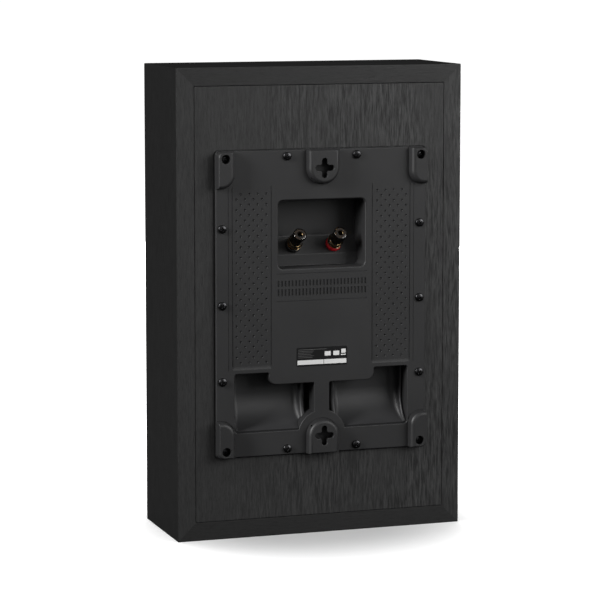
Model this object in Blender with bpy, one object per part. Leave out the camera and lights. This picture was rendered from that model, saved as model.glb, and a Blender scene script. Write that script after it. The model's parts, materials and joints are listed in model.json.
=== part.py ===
"""Slim on-wall bookshelf loudspeaker, built as separate pieces.

Frame: +Z up, the grille faces -Y, the terminals and the wall side face +Y, +X is on the left
when looking at the back.  The origin is the middle of the footprint, on the base.
"""
import math

import bmesh
import bpy
from mathutils import Matrix, Vector

MM = 0.001
GAP = 0.3 * MM                      # clearance that touching pieces keep

# Whole loudspeaker
WIDTH = 245 * MM
HEIGHT = 385 * MM
CABINET_DEPTH = 95 * MM
GRILLE_STANDOFF = 15 * MM           # grille face ahead of the baffle
PLATE_RISE = 3 * MM                 # module plate above the rear panel
PAD_RISE = 10 * MM                  # wall pads above the rear panel
WALL = 15 * MM
BAFFLE = 16 * MM
PANEL = 12 * MM

Y_GRILLE = -(CABINET_DEPTH + GRILLE_STANDOFF + PAD_RISE) / 2
Y_FRONT = Y_GRILLE + GRILLE_STANDOFF
Y_BACK = Y_FRONT + CABINET_DEPTH
Y_PLATE = Y_BACK + PLATE_RISE
Y_PAD = Y_BACK + PAD_RISE
Z_MID = HEIGHT / 2

# Rear module, in its own x and z measured from its centre (0, Z_MID)
PLATE_HALF_X = 90.5 * MM
PLATE_HALF_Z = 125 * MM
BODY_HALF_X = 77.7 * MM             # the thick part that sits in the panel's cut-out
BODY_HALF_Z = 112.7 * MM
Y_BODY = Y_BACK - 3.5 * MM
MODULE_WALL = 2.7 * MM
KEYHOLE_Z = 110 * MM                # keyholes above and below the centre
KEYHOLE_PAD_R = 13.6 * MM
CORNER_PAD_IN = 76 * MM
CORNER_PAD_OUT = 88.2 * MM
CORNER_PAD_LENGTH = 30 * MM
PAD_SCREW = (83.8 * MM, 119 * MM)
EDGE_SCREW_X = 85.2 * MM
EDGE_SCREW_DZ = 62.3 * MM
END_SCREW = (30 * MM, 120 * MM)
SCREW_HOLE_R = 2.4 * MM
ZONE_IN = 43.6 * MM                 # dotted side zones
ZONE_OUT = 76.7 * MM
ZONE_TOP = 96 * MM
ZONE_BOTTOM = -53.5 * MM
ZONE_DEPTH = 1.8 * MM
LABEL_HALF = (21.6 * MM, 7.5 * MM)
LABEL_Z = -45.2 * MM

# Terminal recess
CUP_HALF_X = 37.5 * MM
CUP_TOP = 83.7 * MM
CUP_BOTTOM = 28 * MM
CUP_BACK_Y = Y_BACK - 24.5 * MM
POST_TILT = math.radians(31)
POST_X = 17.5 * MM
POST_BASE = Vector((0, Y_BACK - 20 * MM, Z_MID + 44.1 * MM))

# Port pockets and the ducts that end in them
PORT_IN = 6.5 * MM
PORT_OUT = 75 * MM
PORT_TOP = -56.5 * MM
PORT_TAB = -66.5 * MM               # lower edge of the tab between the ports
PORT_TAB_X = 45.5 * MM
PORT_BOTTOM = -105.2 * MM
PORT_RING_R = 20.5 * MM             # arc of the pockets around the lower keyhole
Y_POCKET = Y_BACK - 23 * MM
DUCT_IN = 13 * MM
DUCT_OUT = 71 * MM
DUCT_WALL = 2.4 * MM
DUCT_TOP = 19 * MM
CHUTE_R = 30 * MM

# Drivers
WOOFER_Z = 150 * MM
TWEETER_Z = 283 * MM
WOOFER_R = 75 * MM
TWEETER_R = 52 * MM

# Grille
GRILLE_INSET = 6 * MM
GRILLE_BAR = 24 * MM
PEG_X = 99.5 * MM
PEG_R = 3 * MM
PEG_SLACK = 0.6 * MM                # between a peg and its hole
PEG_Z = (28 * MM, 192.5 * MM, 357 * MM)

# Steps round a circle
FINE = 28
MEDIUM = 20
SMALL = 8


# ---------------------------------------------------------------- materials
def material(name, colour, roughness=0.5, metallic=0.0):
    mat = bpy.data.materials.new(name)
    mat.use_nodes = True
    shader = mat.node_tree.nodes["Principled BSDF"]
    shader.inputs["Base Color"].default_value = (*colour, 1.0)
    shader.inputs["Roughness"].default_value = roughness
    shader.inputs["Metallic"].default_value = metallic
    return mat


FINISHES = {
    "vinyl": ((0.020, 0.020, 0.021), 0.42, 0.0),
    "plastic": ((0.030, 0.030, 0.031), 0.48, 0.0),
    "dark_plastic": ((0.016, 0.016, 0.017), 0.40, 0.0),
    "fibreboard": ((0.42, 0.30, 0.19), 0.8, 0.0),
    "foam": ((0.05, 0.05, 0.05), 0.9, 0.0),
    "wadding": ((0.75, 0.75, 0.72), 0.95, 0.0),
    "rubber": ((0.02, 0.02, 0.02), 0.7, 0.0),
    "steel": ((0.55, 0.55, 0.56), 0.35, 1.0),
    "black_steel": ((0.03, 0.03, 0.03), 0.35, 1.0),
    "gold": ((0.72, 0.55, 0.26), 0.25, 1.0),
    "red": ((0.55, 0.02, 0.03), 0.35, 0.0),
    "black": ((0.02, 0.02, 0.02), 0.35, 0.0),
    "ferrite": ((0.05, 0.05, 0.055), 0.7, 0.0),
    "pulp": ((0.09, 0.055, 0.035), 0.8, 0.0),
    "silk": ((0.02, 0.02, 0.022), 0.85, 0.0),
    "cloth": ((0.03, 0.03, 0.03), 0.95, 0.0),
    "spider": ((0.60, 0.42, 0.14), 0.9, 0.0),
    "copper": ((0.72, 0.34, 0.18), 0.35, 1.0),
    "board": ((0.03, 0.16, 0.08), 0.5, 0.0),
    "film": ((0.55, 0.50, 0.12), 0.4, 0.0),
    "label": ((0.02, 0.02, 0.02), 0.35, 0.0),
}


# ---------------------------------------------------------------- helpers
def place(name, mesh, finish, smooth=True, location=(0, 0, 0), rotation=(0, 0, 0)):
    """Wrap a mesh in a named object with its own material."""
    obj = bpy.data.objects.new(name, mesh)
    bpy.context.collection.objects.link(obj)
    mesh.materials.clear()
    mesh.materials.append(material(name, *FINISHES[finish]))
    if smooth:
        mesh.shade_smooth()
        mesh.set_sharp_from_angle(angle=math.radians(35))
    obj.location = location
    obj.rotation_euler = rotation
    return obj


def to_mesh(bm, name="piece"):
    bmesh.ops.recalc_face_normals(bm, faces=bm.faces)
    mesh = bpy.data.meshes.new(name)
    bm.to_mesh(mesh)
    bm.free()
    return mesh


def add_box(bm, low, high):
    """Axis-aligned box between two corners."""
    low = Vector(low)
    high = Vector(high)
    centre = (low + high) / 2
    size = high - low
    matrix = Matrix.Translation(centre) @ Matrix.Diagonal((*size, 1))
    bmesh.ops.create_cube(bm, size=1, matrix=matrix)


def boxes(*corners):
    bm = bmesh.new()
    for low, high in corners:
        add_box(bm, low, high)
    return to_mesh(bm)


def add_prism(bm, outline, start, end, axis="Y"):
    """Extrude a flat outline: (x, z) points along Y, or (y, z) points along X."""
    if axis == "Y":
        verts = [bm.verts.new((a, start, b)) for a, b in outline]
        move = Vector((0, end - start, 0))
    else:
        verts = [bm.verts.new((start, a, b)) for a, b in outline]
        move = Vector((end - start, 0, 0))
    face = bm.faces.new(verts)
    made = bmesh.ops.extrude_face_region(bm, geom=[face], use_keep_orig=True)
    moved = [item for item in made["geom"] if isinstance(item, bmesh.types.BMVert)]
    bmesh.ops.translate(bm, verts=moved, vec=move)


def prism(outline, start, end, axis="Y"):
    bm = bmesh.new()
    add_prism(bm, outline, start, end, axis)
    return to_mesh(bm)


def loft(sections):
    """Close a body through matching outlines: a list of (outline, y)."""
    bm = bmesh.new()
    rings = [[bm.verts.new((x, y, z)) for x, z in outline] for outline, y in sections]
    count = len(rings[0])
    for lower, upper in zip(rings, rings[1:]):
        for i in range(count):
            j = (i + 1) % count
            bm.faces.new((lower[i], lower[j], upper[j], upper[i]))
    bm.faces.new(rings[0])
    bm.faces.new(rings[-1])
    return to_mesh(bm)


def add_turned(bm, profile, centre, direction=(0, 1, 0), steps=FINE):
    """Spin a closed (radius, distance along direction) profile round its axis."""
    centre = Vector(centre)
    direction = Vector(direction).normalized()
    side = direction.orthogonal().normalized()
    points = [bm.verts.new(centre + side * r + direction * d) for r, d in profile]
    edges = [bm.edges.new((a, b)) for a, b in zip(points, points[1:] + points[:1])]
    bmesh.ops.spin(bm, geom=points + edges, cent=centre, axis=direction,
                   angle=math.tau, steps=steps, use_merge=True, use_duplicate=False)
    bmesh.ops.remove_doubles(bm, verts=bm.verts, dist=1e-7)
    flat = [f for f in bm.faces if f.calc_area() < 1e-14]
    bmesh.ops.delete(bm, geom=flat, context="FACES")
    loose = [e for e in bm.edges if not e.link_faces]
    bmesh.ops.delete(bm, geom=loose, context="EDGES")


def turned(profile, centre=(0, 0, 0), direction=(0, 1, 0), steps=FINE):
    bm = bmesh.new()
    add_turned(bm, profile, centre, direction, steps)
    return to_mesh(bm)


def turned_group(profile, centres, direction=(0, 1, 0), steps=SMALL):
    """Several equal turned pieces in one mesh."""
    bm = bmesh.new()
    for centre in centres:
        part = bmesh.new()
        add_turned(part, profile, centre, direction, steps)
        mesh = to_mesh(part)
        bm.from_mesh(mesh)
        bpy.data.meshes.remove(mesh)
    return to_mesh(bm)


def ring_profile(inner, outer, start, end):
    return [(inner, start), (outer, start), (outer, end), (inner, end)]


def disc_profile(radius, start, end):
    return [(0, start), (radius, start), (radius, end), (0, end)]


def joined(*meshes):
    bm = bmesh.new()
    for mesh in meshes:
        bm.from_mesh(mesh)
        bpy.data.meshes.remove(mesh)
    return to_mesh(bm)


def combine(base, tool, operation):
    """Boolean of two meshes, applied at once; returns a new mesh."""
    first = bpy.data.objects.new("base", base)
    second = bpy.data.objects.new("tool", tool)
    for obj in (first, second):
        bpy.context.collection.objects.link(obj)
    cut = first.modifiers.new("boolean", "BOOLEAN")
    cut.operation = operation
    cut.solver = "EXACT"
    cut.object = second
    graph = bpy.context.evaluated_depsgraph_get()
    result = bpy.data.meshes.new_from_object(first.evaluated_get(graph))
    bpy.data.objects.remove(first)
    bpy.data.objects.remove(second)
    bpy.data.meshes.remove(base)
    bpy.data.meshes.remove(tool)
    return result


def cut(base, *tools):
    for tool in tools:
        base = combine(base, tool, "DIFFERENCE")
    return base


def unite(base, *tools):
    for tool in tools:
        base = combine(base, tool, "UNION")
    return base


def arc(cx, cz, radius, start, end, steps):
    """Points on an arc; angles in degrees, both ends included."""
    points = []
    for i in range(steps + 1):
        angle = math.radians(start + (end - start) * i / steps)
        points.append((cx + radius * math.cos(angle), cz + radius * math.sin(angle)))
    return points


def rounded_rectangle(half_x, half_z, radius, cx=0.0, cz=0.0, steps=3):
    points = []
    corners = ((1, 1, 0), (-1, 1, 90), (-1, -1, 180), (1, -1, 270))
    for sx, sz, start in corners:
        x = cx + sx * (half_x - radius)
        z = cz + sz * (half_z - radius)
        points += arc(x, z, radius, start, start + 90, steps)
    return points


def offset(outline, distance):
    """Grow a counter-clockwise outline by a distance."""
    grown = []
    count = len(outline)
    for i in range(count):
        before = Vector(outline[i - 1])
        here = Vector(outline[i])
        after = Vector(outline[(i + 1) % count])
        a = (here - before).normalized()
        b = (after - here).normalized()
        normal = Vector((a.y + b.y, -a.x - b.x)).normalized()
        stretch = distance / max(normal.dot(Vector((a.y, -a.x))), 0.3)
        grown.append(tuple(here + normal * stretch))
    return grown


def mirrored(outline):
    """The same outline on the other side of x = 0, still counter-clockwise."""
    return [(-x, z) for x, z in reversed(outline)]


def shifted(outline, dz):
    return [(x, z + dz) for x, z in outline]


def at_depth(points, y):
    return [(x, y, z) for x, _, z in points]


def on_axis(x, distance):
    """A point on a binding post's axis, distance from the tilted face."""
    along = Vector((0, math.cos(POST_TILT), math.sin(POST_TILT)))
    return POST_BASE + Vector((x, 0, 0)) + along * distance


POST_AXIS = (0, math.cos(POST_TILT), math.sin(POST_TILT))
SIDES = {"left": 1, "right": -1}


# ---------------------------------------------------------------- cabinet
def make_boards():
    """Four mitred boards round the cabinet."""
    half = WIDTH / 2
    slip = 0.22 * MM                # keeps the mitres just apart
    for side, sign in SIDES.items():
        outline = [
            (sign * half, slip),
            (sign * half, HEIGHT - slip),
            (sign * (half - WALL), HEIGHT - WALL - slip),
            (sign * (half - WALL), WALL + slip),
        ]
        place(f"side_board_{side}", prism(outline, Y_FRONT, Y_BACK), "vinyl", False)
    for name, outer, inner in (("top_board", HEIGHT, HEIGHT - WALL), ("bottom_board", 0, WALL)):
        outline = [
            (-half + slip, outer),
            (half - slip, outer),
            (half - WALL - slip, inner),
            (-half + WALL + slip, inner),
        ]
        place(name, prism(outline, Y_FRONT, Y_BACK), "vinyl", False)


def panel_blank(start, end):
    half_x = WIDTH / 2 - WALL - GAP
    half_z = HEIGHT / 2 - WALL - GAP
    return boxes(((-half_x, start, Z_MID - half_z), (half_x, end, Z_MID + half_z)))


def peg_points():
    return [(sign * PEG_X, 0, z) for sign in SIDES.values() for z in PEG_Z]


def make_baffle():
    board = panel_blank(Y_FRONT, Y_FRONT + BAFFLE)
    beyond = 1 * MM
    front = Y_FRONT - beyond
    rear = Y_FRONT + BAFFLE + beyond
    rebates = joined(
        turned(disc_profile(WOOFER_R + 0.5 * MM, front, Y_FRONT + 4.6 * MM), (0, 0, WOOFER_Z)),
        turned(disc_profile(TWEETER_R + 0.5 * MM, front, Y_FRONT + 4.2 * MM), (0, 0, TWEETER_Z)),
    )
    openings = joined(
        turned(disc_profile(63.5 * MM, front, rear), (0, 0, WOOFER_Z)),
        turned(disc_profile(39 * MM, front, rear), (0, 0, TWEETER_Z)),
        turned_group(disc_profile(PEG_R + PEG_SLACK, front, Y_FRONT + 13 * MM), peg_points()),
    )
    place("front_baffle", cut(board, rebates, openings), "fibreboard")


def module_screw_points():
    points = [(sx * END_SCREW[0], 0, Z_MID + sz * END_SCREW[1]) for sx in (1, -1) for sz in (1, -1)]
    points += [(sx * EDGE_SCREW_X, 0, Z_MID + k * EDGE_SCREW_DZ) for sx in (1, -1) for k in (-1, 0, 1)]
    return points


def pad_screw_points():
    return [(sx * PAD_SCREW[0], 0, Z_MID + sz * PAD_SCREW[1]) for sx in (1, -1) for sz in (1, -1)]


def make_rear_panel():
    panel = panel_blank(Y_BACK - PANEL, Y_BACK)
    beyond = 1 * MM
    opening = rounded_rectangle(BODY_HALF_X + GAP, BODY_HALF_Z + GAP, 5 * MM, cz=Z_MID)
    groove = rounded_rectangle(82.5 * MM, 117.5 * MM, 6 * MM, cz=Z_MID)
    pilots = turned_group(disc_profile(SCREW_HOLE_R, Y_BACK - PANEL - beyond, Y_BACK + beyond),
                          module_screw_points() + pad_screw_points())
    place("rear_panel", cut(panel, prism(opening, Y_BACK - PANEL - beyond, Y_BACK + beyond),
                            prism(groove, Y_BACK - 1.6 * MM, Y_BACK + beyond), pilots), "vinyl")


def make_brace():
    """Shelf that ties the side boards together between the drivers."""
    half_x = WIDTH / 2 - WALL - GAP
    brace = boxes(((-half_x, Y_FRONT + BAFFLE + GAP, 216 * MM), (half_x, 18 * MM, 226 * MM)))
    holes = turned_group(disc_profile(9 * MM, 215 * MM, 227 * MM),
                         [(s * 84 * MM, 4 * MM, 0) for s in SIDES.values()], (0, 0, 1), 12)
    place("cabinet_brace", cut(brace, holes), "fibreboard")


def make_damping_pad():
    """Loose pad of polyester wadding under the top board."""
    low = (-104 * MM, Y_FRONT + BAFFLE + GAP, 339 * MM)
    high = (104 * MM, Y_BACK - PANEL - GAP, HEIGHT - WALL - GAP)
    place("damping_pad", boxes((low, high)), "wadding", False)


# ---------------------------------------------------------------- rear module
def port_outline(with_tab):
    """Mouth of the left-hand port pocket, counter-clockwise in x and z."""
    ring_start = math.degrees(math.asin((PORT_BOTTOM + KEYHOLE_Z) / PORT_RING_R))
    ring_end = math.degrees(math.acos(PORT_IN / PORT_RING_R))
    points = arc(PORT_OUT - 3 * MM, PORT_BOTTOM + 3 * MM, 3 * MM, -90, 0, 2)
    points += arc(PORT_OUT - 1.5 * MM, PORT_TOP - 1.5 * MM, 1.5 * MM, 0, 90, 2)
    if with_tab:
        radius = 7 * MM
        points += [(PORT_TAB_X + 1 * MM, PORT_TOP), (PORT_TAB_X, PORT_TOP - 1 * MM)]
        points += arc(PORT_TAB_X - radius, PORT_TAB + radius, radius, 0, -90, 4)
        points += [(PORT_IN + 1 * MM, PORT_TAB), (PORT_IN, PORT_TAB - 1 * MM)]
    else:
        points += [(PORT_IN, PORT_TOP)]
    points += arc(0, -KEYHOLE_Z, PORT_RING_R, ring_end, ring_start, 6)
    return points


def keyhole_outline():
    """Four-way keyhole: a plus with round ends and a larger round centre."""
    arm = 8.2 * MM
    half = 2.45 * MM
    hub = 4.2 * MM
    turn = math.degrees(math.asin(half / hub))
    points = []
    for quarter in range(4):
        angle = 90 * quarter
        ex = (arm - half) * math.cos(math.radians(angle))
        ez = (arm - half) * math.sin(math.radians(angle))
        points += arc(ex, ez, half, angle - 90, angle + 90, 4)
        points += arc(0, 0, hub, angle + turn, angle + 90 - turn, 3)
    return points


def keyhole_pad_outline(upper):
    """Half-round pad about a keyhole, square at the plate's edge."""
    edge = PLATE_HALF_Z - KEYHOLE_Z
    outline = [(KEYHOLE_PAD_R, edge), (-KEYHOLE_PAD_R, edge)]
    outline += arc(0, 0, KEYHOLE_PAD_R, 180, 360, 12)
    if not upper:
        outline = [(x, -z) for x, z in reversed(outline)]
    return shifted(outline, KEYHOLE_Z if upper else -KEYHOLE_Z)


def corner_pad_outline(upper):
    """Left corner pad: rounded inner end, square outer side."""
    top = PLATE_HALF_Z
    foot = top - CORNER_PAD_LENGTH
    radius = 11 * MM
    points = arc(CORNER_PAD_OUT - 2 * MM, top - 2 * MM, 2 * MM, 0, 90, 2)
    points += arc(CORNER_PAD_IN + 2 * MM, top - 2 * MM, 2 * MM, 90, 180, 2)
    points += arc(CORNER_PAD_IN + radius, foot + radius, radius, 180, 265, 5)
    points += [(CORNER_PAD_OUT, foot)]
    if not upper:
        points = [(x, -z) for x, z in reversed(points)]
    return points


def raised_pad(outline):
    """Drafted pad that stands on the plate, with a chamfered top edge."""
    outline = shifted(outline, Z_MID)
    return loft([(outline, Y_PLATE - 1 * MM), (outline, Y_PLATE),
                 (offset(outline, -0.7 * MM), Y_PAD - 0.7 * MM),
                 (offset(outline, -1.4 * MM), Y_PAD)])


def module_pads():
    pads = []
    for upper in (True, False):
        pads.append(raised_pad(keyhole_pad_outline(upper)))
        pads.append(raised_pad(corner_pad_outline(upper)))
        pads.append(raised_pad(mirrored(corner_pad_outline(upper))))
    return pads


def cup_outline(grow):
    """Side view (y, z) of the terminal recess, or of its shell when grown by a wall."""
    cos = math.cos(POST_TILT)
    sin = math.sin(POST_TILT)
    face = POST_BASE - Vector((0, cos, sin)) * grow
    back = CUP_BACK_Y - grow
    to_back = (face.y - back) / sin
    down = 8 * MM + 0.3 * grow
    knee = (face.y + sin * down, face.z - cos * down)
    top = Z_MID + CUP_TOP + grow
    foot = Z_MID + CUP_BOTTOM - grow
    mouth = Y_BACK if grow else Y_PLATE + 1 * MM
    return [(mouth, foot), (mouth, top), (back, top), (back, face.z + cos * to_back),
            knee, (knee[0] + 2.2 * MM, foot)]


def module_shell():
    """Plate, thick body, recess shells and pads as one moulding."""
    plate = rounded_rectangle(PLATE_HALF_X, PLATE_HALF_Z, 3 * MM, cz=Z_MID)
    body = rounded_rectangle(BODY_HALF_X, BODY_HALF_Z, 5 * MM, cz=Z_MID)
    shell = loft([(plate, Y_BACK + GAP), (plate, Y_PLATE - 0.6 * MM), (offset(plate, -0.6 * MM), Y_PLATE)])
    cup = prism(cup_outline(3 * MM), -CUP_HALF_X - 3 * MM, CUP_HALF_X + 3 * MM, "X")
    pockets = [boxes(((min(a, b), Y_POCKET - MODULE_WALL, Z_MID + PORT_BOTTOM - MODULE_WALL),
                      (max(a, b), Y_BODY + 1 * MM, Z_MID + PORT_TOP + MODULE_WALL)))
               for a, b in ((3.5 * MM, BODY_HALF_X), (-3.5 * MM, -BODY_HALF_X))]
    return unite(shell, prism(body, Y_BODY, Y_BACK + 1 * MM), cup, *pockets, *module_pads())


def zone_cutters():
    """Wedges that sink the dotted side zones towards their lower end."""
    ramp = [(Y_PLATE, Z_MID + ZONE_TOP), (Y_PLATE - ZONE_DEPTH, Z_MID + ZONE_BOTTOM + 1 * MM),
            (Y_PLATE - 0.4 * MM, Z_MID + ZONE_BOTTOM), (Y_PLATE + 1 * MM, Z_MID + ZONE_BOTTOM),
            (Y_PLATE + 1 * MM, Z_MID + ZONE_TOP)]
    return [prism(ramp, ZONE_IN, ZONE_OUT, "X"), prism(ramp, -ZONE_OUT, -ZONE_IN, "X")]


def port_cutters():
    cutters = []
    for flip in (False, True):
        mouth = port_outline(True)
        hollow = port_outline(False)
        if flip:
            mouth = mirrored(mouth)
            hollow = mirrored(hollow)
        sign = -1 if flip else 1
        throat = sorted((sign * (DUCT_IN - GAP), sign * (DUCT_OUT + GAP)))
        cutters.append(prism(shifted(mouth, Z_MID), Y_BODY - 0.5 * MM, Y_PLATE + 1 * MM))
        cutters.append(prism(shifted(hollow, Z_MID), Y_POCKET, Y_BODY))
        cutters.append(boxes(((throat[0], Y_POCKET + 2.1 * MM, Z_MID + PORT_TOP - 1 * MM),
                              (throat[1], Y_BODY - 0.1 * MM, Z_MID + PORT_TOP + 4 * MM))))
    return cutters


def keyhole_cutters():
    cutters = []
    for sign in (1, -1):
        centre = Z_MID + sign * KEYHOLE_Z
        slot = shifted(keyhole_outline(), centre)
        cutters.append(prism(slot, Y_PAD - 3.5 * MM, Y_PAD + 1 * MM))
        room = rounded_rectangle(10 * MM, 9.5 * MM, 3 * MM, cz=centre, steps=2)
        cutters.append(prism(room, Y_PLATE - 1 * MM, Y_PAD - 3 * MM))
    return cutters


def fastener_cutters():
    """Screw holes, counterbores, the label's seat and the holes for the posts."""
    beyond = 1 * MM
    tools = [
        turned_group(disc_profile(SCREW_HOLE_R, Y_BACK - beyond, Y_PLATE + beyond), module_screw_points()),
        turned_group(disc_profile(SCREW_HOLE_R, Y_BACK - beyond, Y_PAD), pad_screw_points()),
        turned_group(disc_profile(3.7 * MM, Y_PAD - 6 * MM, Y_PAD + beyond), pad_screw_points(), steps=12),
    ]
    low_x = LABEL_HALF[0] + GAP
    low_z = LABEL_HALF[1] + GAP
    tools.append(boxes(((-low_x, Y_PLATE - 0.6 * MM, Z_MID + LABEL_Z - low_z),
                        (low_x, Y_PLATE + beyond, Z_MID + LABEL_Z + low_z))))
    tools += [turned(disc_profile(3.4 * MM, -5 * MM, 4 * MM), on_axis(s * POST_X, 0), POST_AXIS, 12)
              for s in SIDES.values()]
    return tools


def make_module():
    recess = prism(cup_outline(0), -CUP_HALF_X, CUP_HALF_X, "X")
    shell = cut(module_shell(), recess, *zone_cutters(), *port_cutters(), *keyhole_cutters(),
                *fastener_cutters())
    place("rear_module", shell, "plastic")


def make_gasket():
    inner = rounded_rectangle(BODY_HALF_X + GAP, BODY_HALF_Z + GAP, 5 * MM, cz=Z_MID)
    outer = rounded_rectangle(82.2 * MM, 117.2 * MM, 5.7 * MM, cz=Z_MID)
    low = Y_BACK - 1.3 * MM
    high = Y_BACK
    ring = cut(prism(outer, low, high), prism(inner, low - 1 * MM, high + 1 * MM))
    place("module_gasket", ring, "foam")


def chute_curve(radius, low):
    """Curved floor of a duct's outlet, from its upright top to its lower lip."""
    centre_y = Y_BACK + 12 * MM
    centre_z = Z_MID - 75.5 * MM
    end = math.acos((centre_y - Y_PLATE + 1 * MM) / radius)
    points = []
    for i in range(8):
        turn = end * i / 7
        points.append((centre_y - radius * math.cos(turn), max(centre_z - radius * math.sin(turn), low)))
    return points


def make_duct(side, sign):
    """Flat reflex duct that runs down behind the plate and turns out through a curved chute."""
    low = Z_MID + PORT_BOTTOM + 0.4 * MM
    top = Z_MID + DUCT_TOP
    neck = Z_MID + PORT_TOP
    back = chute_curve(CHUTE_R + DUCT_WALL, low)
    front = Y_BODY - 0.4 * MM
    rim = [(Y_PLATE - 1 * MM, low + 1 * MM), (Y_PLATE - 4 * MM, low + 8 * MM),
           (Y_PLATE - 11 * MM, low + 36 * MM)]
    outer = [(back[0][0], top)] + back + rim + [(front, neck - 1 * MM), (front, top)]
    floor = chute_curve(CHUTE_R, low)
    beyond = 3 * MM
    inner = [(floor[0][0], top + beyond)] + floor + [(Y_PLATE + beyond, low - beyond),
                                                     (Y_PLATE + beyond, neck - 1.5 * MM),
                                                     (front - DUCT_WALL, neck - 1.5 * MM),
                                                     (front - DUCT_WALL, top + beyond)]
    xs = sorted((sign * DUCT_IN, sign * DUCT_OUT))
    body = prism(outer, xs[0], xs[1], "X")
    hollow = prism(inner, xs[0] + DUCT_WALL, xs[1] - DUCT_WALL, "X")
    ring = turned(disc_profile(PORT_RING_R + GAP, Y_POCKET, Y_PLATE + beyond), (0, 0, Z_MID - KEYHOLE_Z))
    place(f"port_duct_{side}", cut(body, hollow, ring), "dark_plastic")


def screw_profile(head_r, head_h, shank_r, length):
    """Pan-head screw along its axis: head above 0, shank below."""
    return [(0, -length), (shank_r, -length), (shank_r, 0), (head_r, 0),
            (head_r, 0.55 * head_h), (0.7 * head_r, head_h), (0, head_h)]


def make_screws(name, points, y, profile):
    for number, (x, _, z) in enumerate(points, 1):
        place(f"{name}_{number}", turned(profile, steps=10), "black_steel", True, (x, y, z))


def make_module_screws():
    """Ten screws hold the module's edge and four more sit deep in its corner pads."""
    edge = screw_profile(3.5 * MM, 2.2 * MM, 2 * MM, 12 * MM)
    make_screws("module_screw", module_screw_points(), Y_PLATE + GAP, edge)
    deep = screw_profile(3.3 * MM, 2.2 * MM, 2 * MM, 15 * MM)
    make_screws("pad_screw", pad_screw_points(), Y_PAD - 5.7 * MM, deep)


def make_label():
    label = rounded_rectangle(*LABEL_HALF, 0.8 * MM, cz=Z_MID + LABEL_Z, steps=2)
    place("rating_label", prism(label, Y_PLATE - 0.3 * MM, Y_PLATE + 0.05 * MM), "label")


# ---------------------------------------------------------------- binding posts
def make_posts():
    """Two tilted binding posts; each knob screws along its stud above a sliding washer."""
    pieces = {
        "stud": ([(0, -12), (3, -12), (3, 21.5), (2.1, 21.5), (2.1, 7), (0, 7)], "gold", 14),
        "ring": ([(3.3, 0.3), (6.6, 0.3), (6.6, 3.3), (3.3, 3.3)], None, 16),
        "washer": ([(3.3, 3.6), (5.4, 3.6), (5.4, 4.6), (3.3, 4.6)], "gold", 14),
        "knob": ([(3.3, 4.9), (5.6, 4.9), (5.6, 21.6), (4.9, 22.4), (3.3, 22.4)], "gold", 14),
        "nut": ([(3.9, -6.9), (5.6, -6.9), (5.6, -3.4), (3.9, -3.4)], "steel", 6),
    }
    tilt = (POST_TILT, 0, 0)
    for colour, x in (("black", POST_X), ("red", -POST_X)):
        for piece, (profile, finish, steps) in pieces.items():
            mesh = turned([(r * MM, d * MM) for r, d in profile], steps=steps)
            place(f"terminal_{piece}_{colour}", mesh, finish or colour, steps > 6, on_axis(x, 0), tilt)


# ---------------------------------------------------------------- woofer
def woofer_y(distance):
    """Depth behind the baffle's face."""
    return Y_FRONT + distance * MM


def make_turned(name, profile, z, finish, steps=MEDIUM, moving_y=0.0):
    """Turned driver piece from (radius mm, depth mm) points; its origin lies on the driver axis."""
    points = [(r * MM, woofer_y(d) - moving_y) for r, d in profile]
    return place(name, turned(points, steps=steps), finish, True, (0, moving_y, z))


def make_basket():
    profile = [(75, 0), (75, 4), (62.6, 4), (47.5, 33), (47.5, 36), (24, 36), (24, 33.5), (38.5, 33.5),
               (38.5, 29.8), (46.2, 29.8), (60, 4.2), (60, 2.8), (66.5, 2.8), (66.5, 0)]
    frame = turned([(r * MM, woofer_y(d)) for r, d in profile], (0, 0, WOOFER_Z), steps=24)
    windows = []
    for i in range(6):
        turn = Matrix.Rotation(math.radians(60 * i), 4, "Y")
        window = boxes(((-15 * MM, woofer_y(8), 40 * MM), (15 * MM, woofer_y(27), 70 * MM)))
        window.transform(Matrix.Translation((0, 0, WOOFER_Z)) @ turn)
        windows.append(window)
    place("woofer_basket", cut(frame, joined(*windows)), "dark_plastic")


def surround_profile():
    """Half-roll of rubber: inner lip on the cone, outer lip on the basket's ledge."""
    outer = arc(55.9, 4.2, 4.8, -30, -170, 5)
    inner = arc(55.9, 4.2, 4.0, -170, -25, 5)
    return [(65.5, 1.8)] + outer + [(48, 4.4), (48, 5.1), (51.6, 5.1)] + inner + [(65.5, 2.5)]


def spider_profile():
    """Corrugated cloth disc."""
    top = []
    count = 7
    for i in range(count):
        radius = 17 + 27 * i / (count - 1)
        wave = 1.1 if i % 2 else -1.1
        top.append((radius, 28 + (wave if 0 < i < count - 1 else 0.6)))
    under = [(r, d + 0.7) for r, d in reversed(top)]
    return top + under


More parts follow.
